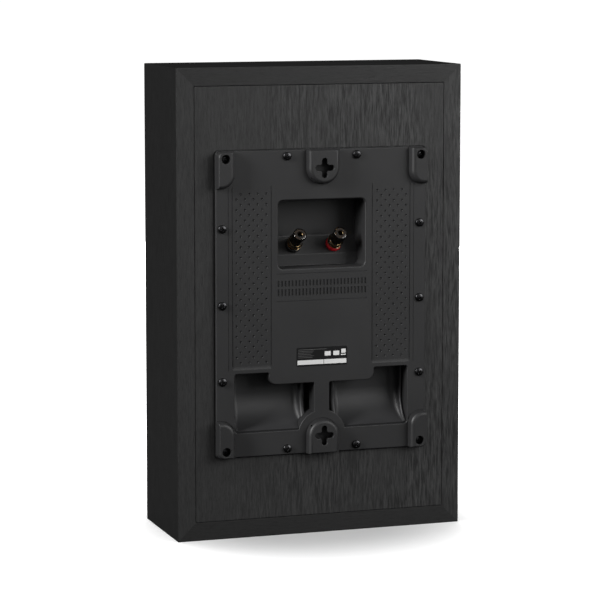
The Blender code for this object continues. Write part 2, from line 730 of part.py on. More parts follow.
def make_woofer():
    make_basket()
    z = WOOFER_Z
    make_turned("woofer_surround", surround_profile(), z, "rubber", FINE)
    make_turned("woofer_spider", spider_profile(), z, "spider", MEDIUM)
    cone = [(51, 5.4), (51, 6.4), (47.6, 6.4), (18.2, 24), (18.2, 27), (16.8, 27), (16.8, 23.2),
            (46.8, 5.4)]
    make_turned("woofer_cone", cone, z, "pulp", FINE, woofer_y(24))
    cap = dome_profile(21.5, 19.0, 12, 0.8)
    make_turned("woofer_dust_cap", cap, z, "pulp", MEDIUM, woofer_y(24))
    coil = [(16, 24), (16.5, 24), (16.5, 33), (17.4, 33), (17.4, 45), (16, 45)]
    make_turned("woofer_voice_coil", coil, z, "copper", MEDIUM, woofer_y(24))
    make_turned("woofer_top_plate", [(18.2, 36.3), (40, 36.3), (40, 41.3), (18.2, 41.3)], z, "steel")
    make_turned("woofer_magnet", [(22, 41.6), (42.5, 41.6), (42.5, 55.6), (22, 55.6)], z, "ferrite")
    yoke = [(0, 35.5), (15.4, 35.5), (15.4, 55.9), (40, 55.9), (40, 60.9), (0, 60.9)]
    make_turned("woofer_yoke", yoke, z, "steel")


def dome_profile(radius, edge, apex, thickness):
    """Shallow dome between its edge and apex depths, as (radius, depth) points."""
    count = 5
    front = []
    for i in range(count + 1):
        part = i / count
        front.append((radius * (1 - part), edge - (edge - apex) * math.sin(part * math.pi / 2) ** 0.8))
    back = [(max(r - 0.4 * thickness, 0), d + thickness) for r, d in reversed(front)]
    back[0] = (0, back[0][1])
    return front + back


# ---------------------------------------------------------------- tweeter
def make_tweeter():
    z = TWEETER_Z
    face = [(52, 0), (52, 3.7), (17.4, 3.7), (17.4, 2.6), (31, 0)]
    make_turned("tweeter_faceplate", face, z, "dark_plastic", FINE)
    dome = dome_profile(14.6, 4.1, -0.4, 0.6)
    lip = [(18.5, 4.1), (18.5, 4.6)]
    front = dome[:6]
    back = [point for point in dome[6:] if point[0] < 13.9] + [(13.8, 4.6)]
    make_turned("tweeter_dome", lip[:1] + front + back + lip[1:], z, "silk", MEDIUM, woofer_y(4))
    coil = [(14, 4.9), (14.7, 4.9), (14.7, 9.5), (14, 9.5)]
    make_turned("tweeter_voice_coil", coil, z, "copper", MEDIUM, woofer_y(4))
    make_turned("tweeter_top_plate", [(15.4, 5.1), (36, 5.1), (36, 9.1), (15.4, 9.1)], z, "steel")
    make_turned("tweeter_magnet", [(18, 9.4), (34, 9.4), (34, 17.4), (18, 17.4)], z, "ferrite")
    yoke = [(0, 5.4), (13.1, 5.4), (13.1, 17.7), (36, 17.7), (36, 21.7), (0, 21.7)]
    make_turned("tweeter_yoke", yoke, z, "steel")


# ---------------------------------------------------------------- crossover and wiring
BOARD_Z = (22 * MM, 72 * MM)
BOARD_HALF_X = 60 * MM
BOARD_Y = 32 * MM


def make_crossover():
    """Board on four feet, with one air-cored coil and one film capacitor."""
    near = Y_BACK - PANEL - GAP
    thick = 1.6 * MM
    board = boxes(((-BOARD_HALF_X, BOARD_Y, BOARD_Z[0]), (BOARD_HALF_X, BOARD_Y + thick, BOARD_Z[1])))
    inset = 6 * MM
    corners = [(sx * (BOARD_HALF_X - inset), 0, z) for sx in (1, -1)
               for z in (BOARD_Z[0] + inset, BOARD_Z[1] - inset)]
    feet = turned_group(disc_profile(3.2 * MM, BOARD_Y + 1 * MM, near), corners)
    place("crossover_board", unite(board, feet), "board")
    middle = (BOARD_Z[0] + BOARD_Z[1]) / 2
    coil = ring_profile(8 * MM, 19 * MM, BOARD_Y - GAP - 15 * MM, BOARD_Y - GAP)
    place("crossover_coil", turned(coil, steps=18), "copper", True, (-33 * MM, 0, middle))
    can = disc_profile(8 * MM, -16 * MM, 16 * MM)
    capacitor = turned(can, (34 * MM, BOARD_Y - GAP - 8.2 * MM, middle), (1, 0, 0), 14)
    place("crossover_capacitor", capacitor, "film")


def smooth_route(points, per_leg):
    """Catmull-Rom points through a hand-chosen route in millimetres."""
    route = [Vector(p) * MM for p in points]
    padded = [route[0] * 2 - route[1]] + route + [route[-1] * 2 - route[-2]]
    result = []
    for i in range(1, len(padded) - 2):
        p0, p1, p2, p3 = padded[i - 1:i + 3]
        for k in range(per_leg):
            t = k / per_leg
            bend = (2 * p0 - 5 * p1 + 4 * p2 - p3) * t ** 2
            twist = (3 * p1 - p0 - 3 * p2 + p3) * t ** 3
            result.append(0.5 * (2 * p1 + (p2 - p0) * t + bend + twist))
    result.append(route[-1])
    return result


def make_lead(name, route, finish):
    """Sheathed two-core lead as a round tube along a smooth route."""
    curve = bpy.data.curves.new(name, "CURVE")
    curve.dimensions = "3D"
    curve.bevel_depth = 1.8 * MM
    curve.bevel_resolution = 2
    curve.use_fill_caps = True
    points = smooth_route(route, 3)
    spline = curve.splines.new("POLY")
    spline.points.add(len(points) - 1)
    for target, point in zip(spline.points, points):
        target.co = (*point, 1)
    obj = bpy.data.objects.new(name, curve)
    bpy.context.collection.objects.link(obj)
    curve.materials.append(material(name, *FINISHES[finish]))


def make_leads():
    make_lead("input_lead", [(0, 20, 228), (0, 19.8, 200), (2, 19.8, 160), (4, 19.8, 120), (4, 19.8, 94),
                             (3, 21.5, 79), (2, 29.6, 66)], "black")
    make_lead("woofer_lead", [(6, 29.6, 52), (14, 14, 62), (20, -2, 78), (14, -14, 92), (8, -19, 98)],
              "black")
    make_lead("tweeter_lead", [(54, 29.6, 44), (70, 16, 54), (88, 5, 90), (89, 4, 150), (86, 4, 200),
                               (84, 4, 236), (62, -6, 264), (46, -14, 278), (37.5, -20, 284)], "black")


# ---------------------------------------------------------------- grille
def grille_outline(grow=0.0, steps=4):
    return rounded_rectangle(WIDTH / 2 - GRILLE_INSET + grow, HEIGHT / 2 - GRILLE_INSET + grow,
                             9 * MM + grow, cz=Z_MID, steps=steps)


def make_grille():
    frame_front = Y_GRILLE + 1.1 * MM
    frame_back = Y_FRONT - 1 * MM
    half = WIDTH / 2 - GRILLE_INSET - GRILLE_BAR
    bar = 225 * MM
    foot = GRILLE_INSET + 18 * MM
    head = HEIGHT - GRILLE_INSET - 18 * MM
    windows = []
    for low, high in ((foot, bar - 8 * MM), (bar + 8 * MM, head)):
        window = rounded_rectangle(half, (high - low) / 2, 10 * MM, cz=(low + high) / 2)
        windows.append(prism(window, frame_front - 1 * MM, frame_back + 1 * MM))
    frame = cut(prism(grille_outline(), frame_front, frame_back), *windows)
    peg = [(0, 10.5 * MM), (2 * MM, 10.5 * MM), (PEG_R, 9 * MM), (PEG_R, -1 * MM), (0, -1 * MM)]
    frame = unite(frame, turned_group(peg, at_depth(peg_points(), frame_back)))
    place("grille_frame", frame, "dark_plastic")
    place("grille_cloth", prism(grille_outline(0.8 * MM), Y_GRILLE, Y_GRILLE + 0.8 * MM), "cloth")


# ---------------------------------------------------------------- assembly
def main():
    for obj in list(bpy.data.objects):
        bpy.data.objects.remove(obj)
    make_boards()
    make_baffle()
    make_rear_panel()
    make_brace()
    make_damping_pad()
    make_module()
    make_gasket()
    for side, sign in SIDES.items():
        make_duct(side, sign)
    make_module_screws()
    make_label()
    make_posts()
    make_woofer()
    make_tweeter()
    make_crossover()
    make_leads()
    make_grille()


main()
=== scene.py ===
"""Looks of a slim two-way on-wall bookshelf loudspeaker, seen from behind.

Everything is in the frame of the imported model, in metres: +Z up, the grille faces -Y, the terminals and
wall pads face +Y, and +X is on the left from behind.  Plain CAD pieces get their real edges and finishes.
"""
import json
import math

import bmesh
import bpy
from mathutils import Matrix, Vector

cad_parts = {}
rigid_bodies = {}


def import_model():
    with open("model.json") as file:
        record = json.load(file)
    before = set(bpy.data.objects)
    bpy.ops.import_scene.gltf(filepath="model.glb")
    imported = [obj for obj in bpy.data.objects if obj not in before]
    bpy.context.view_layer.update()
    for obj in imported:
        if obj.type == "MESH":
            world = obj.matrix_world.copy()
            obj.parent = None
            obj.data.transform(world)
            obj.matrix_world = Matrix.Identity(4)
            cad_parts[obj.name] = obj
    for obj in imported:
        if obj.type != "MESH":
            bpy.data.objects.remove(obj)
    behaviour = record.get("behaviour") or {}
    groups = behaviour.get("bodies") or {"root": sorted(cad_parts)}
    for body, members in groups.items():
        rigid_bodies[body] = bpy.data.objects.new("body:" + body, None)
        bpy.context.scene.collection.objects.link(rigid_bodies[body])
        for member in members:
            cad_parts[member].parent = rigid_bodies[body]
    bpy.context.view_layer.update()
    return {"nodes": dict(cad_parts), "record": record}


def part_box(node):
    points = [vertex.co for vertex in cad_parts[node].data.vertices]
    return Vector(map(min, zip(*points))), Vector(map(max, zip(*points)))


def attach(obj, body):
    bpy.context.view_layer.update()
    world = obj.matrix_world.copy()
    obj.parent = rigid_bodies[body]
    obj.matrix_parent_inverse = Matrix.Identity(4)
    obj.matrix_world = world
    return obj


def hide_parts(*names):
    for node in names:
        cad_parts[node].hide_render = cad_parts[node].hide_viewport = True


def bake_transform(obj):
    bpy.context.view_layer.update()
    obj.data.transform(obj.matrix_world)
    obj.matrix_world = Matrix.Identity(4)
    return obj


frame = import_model()
NODES = frame["nodes"]
RECORD = frame["record"]
BODY = {node: body for body, nodes in RECORD["behaviour"]["bodies"].items() for node in nodes}

MM = 0.001
GAP = 0.3 * MM
SIDES = {"left": 1, "right": -1}

# ---------------------------------------------------------------- places read from the frame
HALF_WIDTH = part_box("side_board_left")[1].x
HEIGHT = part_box("top_board")[1].z
Y_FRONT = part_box("top_board")[0].y
Y_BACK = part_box("top_board")[1].y
WALL = HALF_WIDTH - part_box("side_board_left")[0].x
Y_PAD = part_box("rear_module")[1].y
Y_PLATE = Y_BACK + 3 * MM
Z_MID = HEIGHT / 2
PLATE_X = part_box("rear_module")[1].x
PLATE_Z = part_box("rear_module")[1].z - Z_MID
WOOFER_Z = (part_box("woofer_basket")[0].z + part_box("woofer_basket")[1].z) / 2
TWEETER_Z = (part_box("tweeter_faceplate")[0].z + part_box("tweeter_faceplate")[1].z) / 2


# ---------------------------------------------------------------- outlines
def arc(ca, cb, radius, start, end, steps):
    """Points on an arc between two angles in degrees, both ends included."""
    turns = [math.radians(start + (end - start) * i / steps) for i in range(steps + 1)]
    return [(ca + radius * math.cos(t), cb + radius * math.sin(t)) for t in turns]


def filleted(corners, steps=4):
    """Closed outline through (a, b, radius) corners, each rounded to its radius."""
    points = []
    for i, (a, b, radius) in enumerate(corners):
        here = Vector((a, b))
        if not radius:
            points.append((a, b))
            continue
        back = (Vector(corners[i - 1][:2]) - here).normalized()
        ahead = (Vector(corners[(i + 1) % len(corners)][:2]) - here).normalized()
        half = back.angle(ahead) / 2
        centre = here + (back + ahead).normalized() * (radius / math.sin(half))
        start = here + back * (radius / math.tan(half)) - centre
        end = here + ahead * (radius / math.tan(half)) - centre
        turn = math.atan2(start.x * end.y - start.y * end.x, start.dot(end))
        for k in range(steps + 1):
            cos = math.cos(turn * k / steps)
            sin = math.sin(turn * k / steps)
            points.append((centre.x + start.x * cos - start.y * sin,
                           centre.y + start.x * sin + start.y * cos))
    return points


def rounded_rectangle(half_x, half_z, radius, cx=0.0, cz=0.0, steps=6):
    corners = [(cx + half_x, cz - half_z, radius), (cx + half_x, cz + half_z, radius),
               (cx - half_x, cz + half_z, radius), (cx - half_x, cz - half_z, radius)]
    return filleted(corners, steps)


def offset(outline, distance):
    """Grow a counter-clockwise outline by a distance."""
    grown = []
    for i, point in enumerate(outline):
        here = Vector(point)
        a = (here - Vector(outline[i - 1])).normalized()
        b = (Vector(outline[(i + 1) % len(outline)]) - here).normalized()
        normal = Vector((a.y + b.y, -a.x - b.x)).normalized()
        grown.append(tuple(here + normal * distance / max(normal.dot(Vector((a.y, -a.x))), 0.4)))
    return grown


def mirrored(outline):
    return [(-x, z) for x, z in reversed(outline)]


def flipped(outline):
    return [(x, -z) for x, z in reversed(outline)]


def shifted(outline, dz):
    return [(x, z + dz) for x, z in outline]


# ---------------------------------------------------------------- meshes
def placed(name, data):
    """A new object with this data, linked to the scene."""
    obj = bpy.data.objects.new(name, data)
    bpy.context.scene.collection.objects.link(obj)
    return obj


def to_mesh(bm):
    bmesh.ops.recalc_face_normals(bm, faces=bm.faces)
    mesh = bpy.data.meshes.new("piece")
    bm.to_mesh(mesh)
    bm.free()
    return mesh


def box(low, high):
    bm = bmesh.new()
    low = Vector(low)
    high = Vector(high)
    place = Matrix.Translation((low + high) / 2) @ Matrix.Diagonal((*(high - low), 1))
    bmesh.ops.create_cube(bm, size=1, matrix=place)
    return to_mesh(bm)


def bridged(rings, caps=True):
    """Close a body through matching rings of 3-D points."""
    bm = bmesh.new()
    made = [[bm.verts.new(point) for point in ring] for ring in rings]
    count = len(made[0])
    for lower, upper in zip(made, made[1:]):
        for i in range(count):
            j = (i + 1) % count
            bm.faces.new((lower[i], lower[j], upper[j], upper[i]))
    if caps:
        bm.faces.new(made[0])
        bm.faces.new(made[-1])
    return to_mesh(bm)


def loft(sections, caps=True):
    """Body through (outline, y) sections; the outlines hold x and z."""
    return bridged([[(x, y, z) for x, z in outline] for outline, y in sections], caps)


def prism(outline, start, end, axis="Y"):
    if axis == "Y":
        return loft([(outline, start), (outline, end)])
    return bridged([[(x, a, b) for a, b in outline] for x in (start, end)])


def quarter(steps, ends=True):
    """Angles from zero to a right angle, with or without the last one."""
    return [math.pi / 2 * i / steps for i in range(steps + ends)]


def rounding(radius, steps=4):
    """(inset, rise) pairs of a quarter-round edge, from its side to its top."""
    return [(radius * (1 - math.cos(t)), radius * math.sin(t)) for t in quarter(steps)]


def block(outline, low, high, radius):
    """Prism along Y whose edge at the high end is rounded."""
    sections = [(outline, low)]
    sections += [(offset(outline, -inset), high - radius + rise) for inset, rise in rounding(radius)]
    return loft(sections)


def mouth(outline, low, top, radius):
    """Cutter along Y that also rounds the edge which it leaves at the top surface."""
    sections = [(outline, low)]
    sections += [(offset(outline, inset), top - radius + rise) for inset, rise in rounding(radius, 3)]
    sections.append((offset(outline, radius * 1.02), top + MM))
    return loft(sections)


def turned(profile, steps, loop=False, place=None):
    """Body of revolution about +Y from (radius, distance) points in millimetres."""
    bm = bmesh.new()
    rings = []
    for r, d in profile:
        if r <= 0:
            rings.append([bm.verts.new((0, d * MM, 0))])
            continue
        turns = [math.tau * i / steps for i in range(steps)]
        rings.append([bm.verts.new((r * MM * math.cos(t), d * MM, r * MM * math.sin(t))) for t in turns])
    pairs = list(zip(rings, rings[1:]))
    if loop:
        pairs.append((rings[-1], rings[0]))
    for a, b in pairs:
        for i in range(steps):
            j = (i + 1) % steps
            corners = (a[i % len(a)], a[j % len(a)], b[j % len(b)], b[i % len(b)])
            corners = list(dict.fromkeys(corners))
            if len(corners) > 2:
                bm.faces.new(corners)
    mesh = to_mesh(bm)
    if place is not None:
        mesh.transform(place)
    return mesh


def joined(meshes):
    bm = bmesh.new()
    for mesh in meshes:
        bm.from_mesh(mesh)
        bpy.data.meshes.remove(mesh)
    mesh = bpy.data.meshes.new("joined")
    bm.to_mesh(mesh)
    bm.free()
    return mesh


def evaluated(obj):
    """The object's mesh with its modifiers applied."""
    graph = bpy.context.evaluated_depsgraph_get()
    return bpy.data.meshes.new_from_object(obj.evaluated_get(graph))


def combine(base, tool, operation):
    """Boolean of two meshes, applied at once."""
    first = placed("base", base)
    second = placed("tool", tool)
    step = first.modifiers.new("boolean", "BOOLEAN")
    step.operation = operation
    step.solver = "EXACT"
    step.object = second
    result = evaluated(first)
    for obj, mesh in ((first, base), (second, tool)):
        bpy.data.objects.remove(obj)
        bpy.data.meshes.remove(mesh)
    return result


def cut(base, *tools):
    for tool in tools:
        base = combine(base, tool, "DIFFERENCE")
    return base


def unite(base, *tools):
    for tool in tools:
        base = combine(base, tool, "UNION")
    return base


def bevelled(mesh, width, segments, angle):
    """The same mesh with its sharp edges rounded."""
    obj = placed("bevelled", mesh)
    step = obj.modifiers.new("bevel", "BEVEL")
    step.width = width
    step.segments = segments
    step.limit_method = "ANGLE"
    step.angle_limit = math.radians(angle)
    result = evaluated(obj)
    bpy.data.objects.remove(obj)
    bpy.data.meshes.remove(mesh)
    return result


def cad_copy(node):
    """A welded copy of a CAD node's mesh, with its flat faces made whole."""
    bm = bmesh.new()
    bm.from_mesh(NODES[node].data)
    bmesh.ops.remove_doubles(bm, verts=bm.verts, dist=1e-6)
    bmesh.ops.dissolve_limit(bm, angle_limit=math.radians(0.5), verts=bm.verts, edges=bm.edges)
    mesh = to_mesh(bm)
    mesh.materials.clear()
    return mesh


# ---------------------------------------------------------------- pieces
def show(name, mesh, finish, body, angle=40):
    """Put a finished mesh in the scene as a piece that rides on a body, or on none."""
    mesh.materials.clear()
    for material in finish if isinstance(finish, (list, tuple)) else (finish,):
        mesh.materials.append(material)
    mesh.shade_smooth()
    mesh.set_sharp_from_angle(angle=math.radians(angle))
    obj = placed(name, mesh)
    step = obj.modifiers.new("normals", "WEIGHTED_NORMAL")
    step.keep_sharp = True
    step.weight = 90
    if body is not None:
        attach(obj, body)
    return obj


def stand_for(node, mesh, finish, angle=40, suffix="detail"):
    """Show a finer mesh in place of a CAD node."""
    obj = show(f"{node}_{suffix}", mesh, finish, BODY[node], angle)
    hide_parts(node)
    return obj


def finish_node(node, material):
    """Give a CAD node that stays its real finish."""
    data = NODES[node].data
    data.materials.clear()
    data.materials.append(material)


# ---------------------------------------------------------------- node materials
class Tree:
    """Short calls that build a node tree."""

    def __init__(self, tree):
        self.tree = tree

    def add(self, kind, **inputs):
        node = self.tree.nodes.new("ShaderNode" + kind)
        for name, source in inputs.items():
            self.feed(node.inputs[name], source)
        return node

    def feed(self, socket, source):
        if isinstance(source, bpy.types.NodeSocket):
            self.tree.links.new(source, socket)
        else:
            socket.default_value = source

    def maths(self, operation, a, b):
        node = self.add("Math")
        node.operation = operation
        self.feed(node.inputs[0], a)
        self.feed(node.inputs[1], b)
        return node.outputs[0]

    def vector_maths(self, operation, *sources):
        node = self.add("VectorMath")
        node.operation = operation
        for socket, source in zip(node.inputs, sources):
            self.feed(socket, source)
        return node

    def remap(self, source, start, end, low, high, shape="LINEAR"):
        """Source from the range start-end to the range low-high, held at both ends."""
        node = self.add("MapRange", Value=source)
        node.interpolation_type = shape
        for name, number in (("From Min", start), ("From Max", end), ("To Min", low), ("To Max", high)):
            self.feed(node.inputs[name], number)
        return node.outputs[0]


class Finish(Tree):
    """One procedural material on a Principled shader, in object coordinates."""

    def __init__(self, name, roughness=0.5, metallic=0.0, ior=1.5, specular=0.5, **sockets):
        self.material = bpy.data.materials.new(name)
        self.material.use_nodes = True
        super().__init__(self.material.node_tree)
        self.shader = self.tree.nodes["Principled BSDF"]
        self.set(Roughness=roughness, Metallic=metallic, IOR=ior, Specular_IOR_Level=specular, **sockets)
        self.place = self.add("TexCoord").outputs["Object"]
        self.height = None

    def set(self, **sockets):
        """Set or link the shader's sockets, named with _ for each space."""
        for name, source in sockets.items():
            self.feed(self.shader.inputs[name.replace("_", " ")], source)

    def noise(self, scale, detail, roughness=0.5, place=None, output="Fac"):
        """Noise whose scale may differ along x, y and z, in cycles per metre."""
        scale = scale if isinstance(scale, tuple) else (scale,) * 3
        mapping = self.add("Mapping", Vector=place or self.place, Scale=scale)
        node = self.add("TexNoise", Vector=mapping.outputs[0], Scale=1.0, Detail=detail, Roughness=roughness)
        return node.outputs[output]

    def wave(self, scale, direction, distortion):
        node = self.add("TexWave", Vector=self.place, Scale=scale, Distortion=distortion)
        node.bands_direction = direction
        node.wave_profile = "SIN"
        return node.outputs["Fac"]

    def warp(self, scale, amount):
        """Object coordinates pushed about by a slow noise."""
        push = self.noise(scale, 1.0, output="Color")
        return self.vector_maths("MULTIPLY_ADD", push, (amount,) * 3, self.place).outputs[0]

    def ramp(self, factor, *stops):
        """Colour ramp through (position, grey or colour) stops."""
        node = self.add("ValToRGB", Fac=factor)
        band = node.color_ramp
        while len(band.elements) < len(stops):
            band.elements.new(0.5)
        for element, (position, colour) in zip(band.elements, stops):
            element.position = position
            element.color = (*(colour if isinstance(colour, tuple) else (colour,) * 3), 1)
        return node.outputs["Color"]

    def mix(self, a, b, factor, blend="MIX"):
        node = self.add("MixRGB", Fac=factor, Color1=a, Color2=b)
        node.blend_type = blend
        return node.outputs["Color"]

    def colour(self, source):
        self.set(Base_Color=source)

    def rough(self, source):
        self.set(Roughness=source)

    def bump(self, height, distance, strength):
        inputs = {"Height": height, "Distance": distance, "Strength": strength}
        if self.height is not None:
            inputs["Normal"] = self.height
        self.height = self.add("Bump", **inputs).outputs[0]
        self.set(Normal=self.height)


def along(direction, fine, coarse):
    """Noise scale that is coarse along one axis and fine along the others."""
    return tuple(coarse if axis == direction else fine for axis in "XYZ")


def scaled(tone, share):
    return tuple(channel * share for channel in tone)


VINYL_SHEEN_FADE = (110 * MM, -50 * MM, 0.25, 1.0)  # x where the grain is weakest and strongest, and how strong; the stronger grain towards -X is painted sheen


def wood_vinyl(name, direction, low, high):
    """Black vinyl embossed with short wood grain along one axis, in patches, and weaker towards +X; the
    stronger grain towards -X is painted sheen, where the key light from -X glances off.
    """
    finish = Finish(name, 0.5, specular=0.42)
    place = finish.warp(along(direction, 30, 12), 0.004)
    streak = finish.noise(along(direction, 640, 62), 4, 0.6, place)
    pore = finish.noise(along(direction, 2400, 190), 2, 0.5, place)
    patch = finish.noise(along(direction, 32, 12), 2)
    across = finish.add("SeparateXYZ", Vector=finish.place).outputs["X"]
    # painted sheen: the grain's contrast in tone, roughness and bump grows towards -X
    side = finish.remap(across, *VINYL_SHEEN_FADE)
    strength = finish.maths("MULTIPLY", finish.ramp(patch, (0.36, 0.35), (0.6, 1.0)), side)
    line = finish.mix((0.42, 0.42, 0.42, 1), finish.ramp(streak, (0.37, 0.0), (0.65, 1.0)), strength)
    pit = finish.ramp(pore, (0.33, 0.0), (0.5, 1.0))
    tone = finish.ramp(line, (0.05, low), (0.95, high))
    finish.colour(finish.mix(tone, finish.mix(tone, (0, 0, 0, 1), 0.4), finish.maths("SUBTRACT", 1.0, pit)))
    finish.rough(finish.ramp(line, (0.0, 0.56), (1.0, 0.42)))
    finish.bump(line, 0.0001, 0.5)
    finish.bump(pit, 0.00005, 0.5)
    return finish.material


def moulded(name, tone, roughness, grit=2600, depth=0.00003, specular=0.45):
    """Moulded plastic with a fine spark texture and a slight change of tone."""
    finish = Finish(name, roughness, specular=specular)
    cloud = finish.noise(22, 3)
    finish.colour(finish.ramp(cloud, (0.3, scaled(tone, 0.88)), (0.7, scaled(tone, 1.08))))
    speck = finish.noise(grit, 2, 0.6)
    worn = finish.mix(speck, cloud, 0.5)
    finish.rough(finish.ramp(worn, (0.25, roughness - 0.05), (0.75, roughness + 0.07)))
    finish.bump(speck, depth, 0.8)
    return finish.material


def metal(name, tone, roughness, brushed=None):
    """Metal with fine tooling marks; brushed is the axis of the marks."""
    finish = Finish(name, roughness, 1.0)
    marks = finish.noise(along(brushed, 90, 5200) if brushed else 1800, 3, 0.6)
    finish.colour(finish.ramp(marks, (0.2, scaled(tone, 0.86)), (0.8, tone)))
    finish.rough(finish.ramp(marks, (0.2, roughness - 0.06), (0.8, roughness + 0.08)))
    finish.bump(marks, 0.00001, 0.4)
    return finish.material


def woven(name, dark, light, pitch, depth):
    """Plain weave or knit; pitch in threads per metre, in the x-z plane."""
    finish = Finish(name, 0.9, specular=0.25, Sheen_Weight=0.15, Sheen_Roughness=0.5)
    across = finish.wave(pitch, "X", 0.6)
    up = finish.wave(pitch, "Z", 0.6)
    weave = finish.mix(across, up, 0.5, "MULTIPLY")
    fuzz = finish.noise(1500, 3, 0.6)
    finish.colour(finish.ramp(finish.mix(weave, fuzz, 0.3), (0.1, dark), (0.8, light)))
    finish.bump(weave, depth, 0.8)
    return finish.material


def raw_board(name):
    """Cut fibreboard: pale brown with fine fibres."""
    finish = Finish(name, 0.85, specular=0.25)
    fibre = finish.noise((1400, 1400, 600), 4, 0.65)
    finish.colour(finish.ramp(fibre, (0.25, (0.28, 0.19, 0.115)), (0.75, (0.47, 0.345, 0.22))))
    finish.bump(fibre, 0.00008, 0.6)
    return finish.material


def wound_copper(name):
    """Enamelled copper winding: fine turns side by side."""
    finish = Finish(name, 0.32, 1.0, Coat_Weight=0.6, Coat_Roughness=0.15)
    turns = finish.wave(620, "Y", 0.2)
    finish.colour(finish.ramp(turns, (0.0, (0.30, 0.11, 0.045)), (0.6, (0.72, 0.34, 0.18))))
    finish.bump(turns, 0.00012, 0.8)
    return finish.material


def paper_pulp(name):
    """Dark pulp cone with pale fibres."""
    finish = Finish(name, 0.7, specular=0.3)
    cloud = finish.noise(420, 5, 0.7)
    fibre = finish.noise((160, 2200, 2200), 2)
    flecks = finish.ramp(fibre, (0.66, 0.0), (0.72, 1.0))
    body = finish.ramp(cloud, (0.25, (0.022, 0.015, 0.011)), (0.8, (0.06, 0.042, 0.03)))
    finish.colour(finish.mix(body, (0.22, 0.17, 0.12, 1), finish.maths("MULTIPLY", flecks, 0.5)))
    finish.bump(cloud, 0.00015, 0.6)
    return finish.material


def clear_plastic(name):
    """Smoky jacket of a binding post, with faint wear."""
    finish = Finish(name, 0.08, ior=1.58, Transmission_Weight=1.0)
    wear = finish.noise(700, 3, 0.6)
    finish.colour(finish.ramp(wear, (0.3, (0.20, 0.14, 0.07)), (0.7, (0.28, 0.20, 0.10))))
    finish.rough(finish.ramp(wear, (0.4, 0.05), (0.8, 0.16)))
    return finish.material


VINYL_UP = wood_vinyl("vinyl_grain_up", "Z", 0.009, 0.061)
# painted shade: the top and bottom boards get a darker, flatter copy of the side vinyl, its grain running
# across
VINYL_ACROSS_PAINTED_SHADE = wood_vinyl("vinyl_grain_across", "X", 0.016, 0.024)
PLASTIC = moulded("module_plastic", (0.0165, 0.0165, 0.0171), 0.5)
# painted light: the ducts' plastic is a lighter copy of the module's, which brightens the shaded port pockets
DUCT_PLASTIC_PAINTED_LIGHT = moulded("duct_plastic", (0.022, 0.022, 0.023), 0.52, 1800, 0.00001)
DRIVER_PLASTIC = moulded("driver_plastic", (0.012, 0.012, 0.0125), 0.42)
RUBBER = moulded("rubber", (0.012, 0.012, 0.012), 0.62, 900, 0.00002, 0.3)
FOAM = moulded("foam", (0.03, 0.03, 0.03), 0.9, 700, 0.0002, 0.2)
PAINT = moulded("baffle_paint", (0.014, 0.014, 0.0145), 0.55, 1200, 0.00004)
BLACK_STEEL = metal("black_oxide_steel", (0.05, 0.05, 0.052), 0.26)
STEEL = metal("zinc_steel", (0.60, 0.60, 0.59), 0.3, "Y")
GOLD = metal("gold_plate", (0.83, 0.60, 0.27), 0.2, "Y")
# painted shade: brass made dark so the banana hole down the stud reads as shaded
STUD_BRASS_PAINTED_SHADE = metal("dark_brass", (0.16, 0.11, 0.055), 0.28, "Y")
COPPER = wound_copper("copper_winding")
FERRITE = moulded("ferrite", (0.035, 0.035, 0.038), 0.55, 1200, 0.00008)
PULP = paper_pulp("paper_pulp")
SILK = woven("silk", (0.006, 0.006, 0.007), (0.022, 0.022, 0.024), 700, 0.00003)
CLOTH = woven("grille_cloth", (0.004, 0.004, 0.004), (0.030, 0.030, 0.031), 300, 0.00022)
SPIDER_CLOTH = woven("spider_cloth", (0.30, 0.19, 0.06), (0.62, 0.43, 0.16), 400, 0.0001)
FIBREBOARD = raw_board("fibreboard")
RED = moulded("red_plastic", (0.62, 0.012, 0.022), 0.24, 1500, 0.000008, 0.5)
BLACK = moulded("black_plastic", (0.012, 0.012, 0.012), 0.25, 1500, 0.000008, 0.5)
CLEAR = clear_plastic("clear_jacket")
INK = moulded("white_ink", (0.92, 0.92, 0.91), 0.45, 3000, 0.000004)
GREY_INK = moulded("grey_ink", (0.16, 0.16, 0.16), 0.45, 3000, 0.000004)
LABEL_FILM = moulded("label_film", (0.007, 0.007, 0.0075), 0.3, 2000, 0.000004)
WADDING = moulded("polyester_wadding", (0.72, 0.72, 0.68), 0.95, 260, 0.0015, 0.1)
BOARD_GREEN = moulded("solder_mask", (0.018, 0.12, 0.05), 0.35, 800, 0.00003)
FILM_WRAP = moulded("capacitor_film", (0.55, 0.42, 0.05), 0.3, 600, 0.00004)
SHEATH = moulded("lead_sheath", (0.016, 0.016, 0.016), 0.5, 900, 0.00004)


# ---------------------------------------------------------------- cabinet
def carcass():
    """The cabinet's four boards as one ring, with softly rounded outer edges."""
    edge = 0.7 * MM
    outer = rounded_rectangle(HALF_WIDTH, HEIGHT / 2, 0.8 * MM, cz=Z_MID, steps=4)
    inner = rounded_rectangle(HALF_WIDTH - WALL, HEIGHT / 2 - WALL, 0.1 * MM, cz=Z_MID, steps=4)
    ease = 0.25 * MM
    eased = offset(inner, ease)
    sections = [(inner, Y_BACK - ease), (inner, Y_FRONT + ease), (eased, Y_FRONT)]
    sections += [(offset(outer, -inset), Y_FRONT + edge - rise) for inset, rise in reversed(rounding(edge))]
    sections += [(offset(outer, -inset), Y_BACK - edge + rise) for inset, rise in rounding(edge)]
    sections += [(eased, Y_BACK), sections[0]]
    bm = bmesh.new()
    bm.from_mesh(loft(sections, caps=False))
    bmesh.ops.remove_doubles(bm, verts=bm.verts, dist=1e-6)
    return to_mesh(bm)


def mitred(ring, planes):
    """The stretch of the ring that lies inside two mitre planes, closed again."""
    bm = bmesh.new()
    bm.from_mesh(ring)
    for point, normal in planes:
        bmesh.ops.bisect_plane(bm, geom=bm.verts[:] + bm.edges[:] + bm.faces[:], dist=1e-7, plane_co=point,
                               plane_no=normal, clear_outer=True)
        bmesh.ops.edgeloop_fill(bm, edges=[edge for edge in bm.edges if edge.is_boundary])
    return to_mesh(bm)


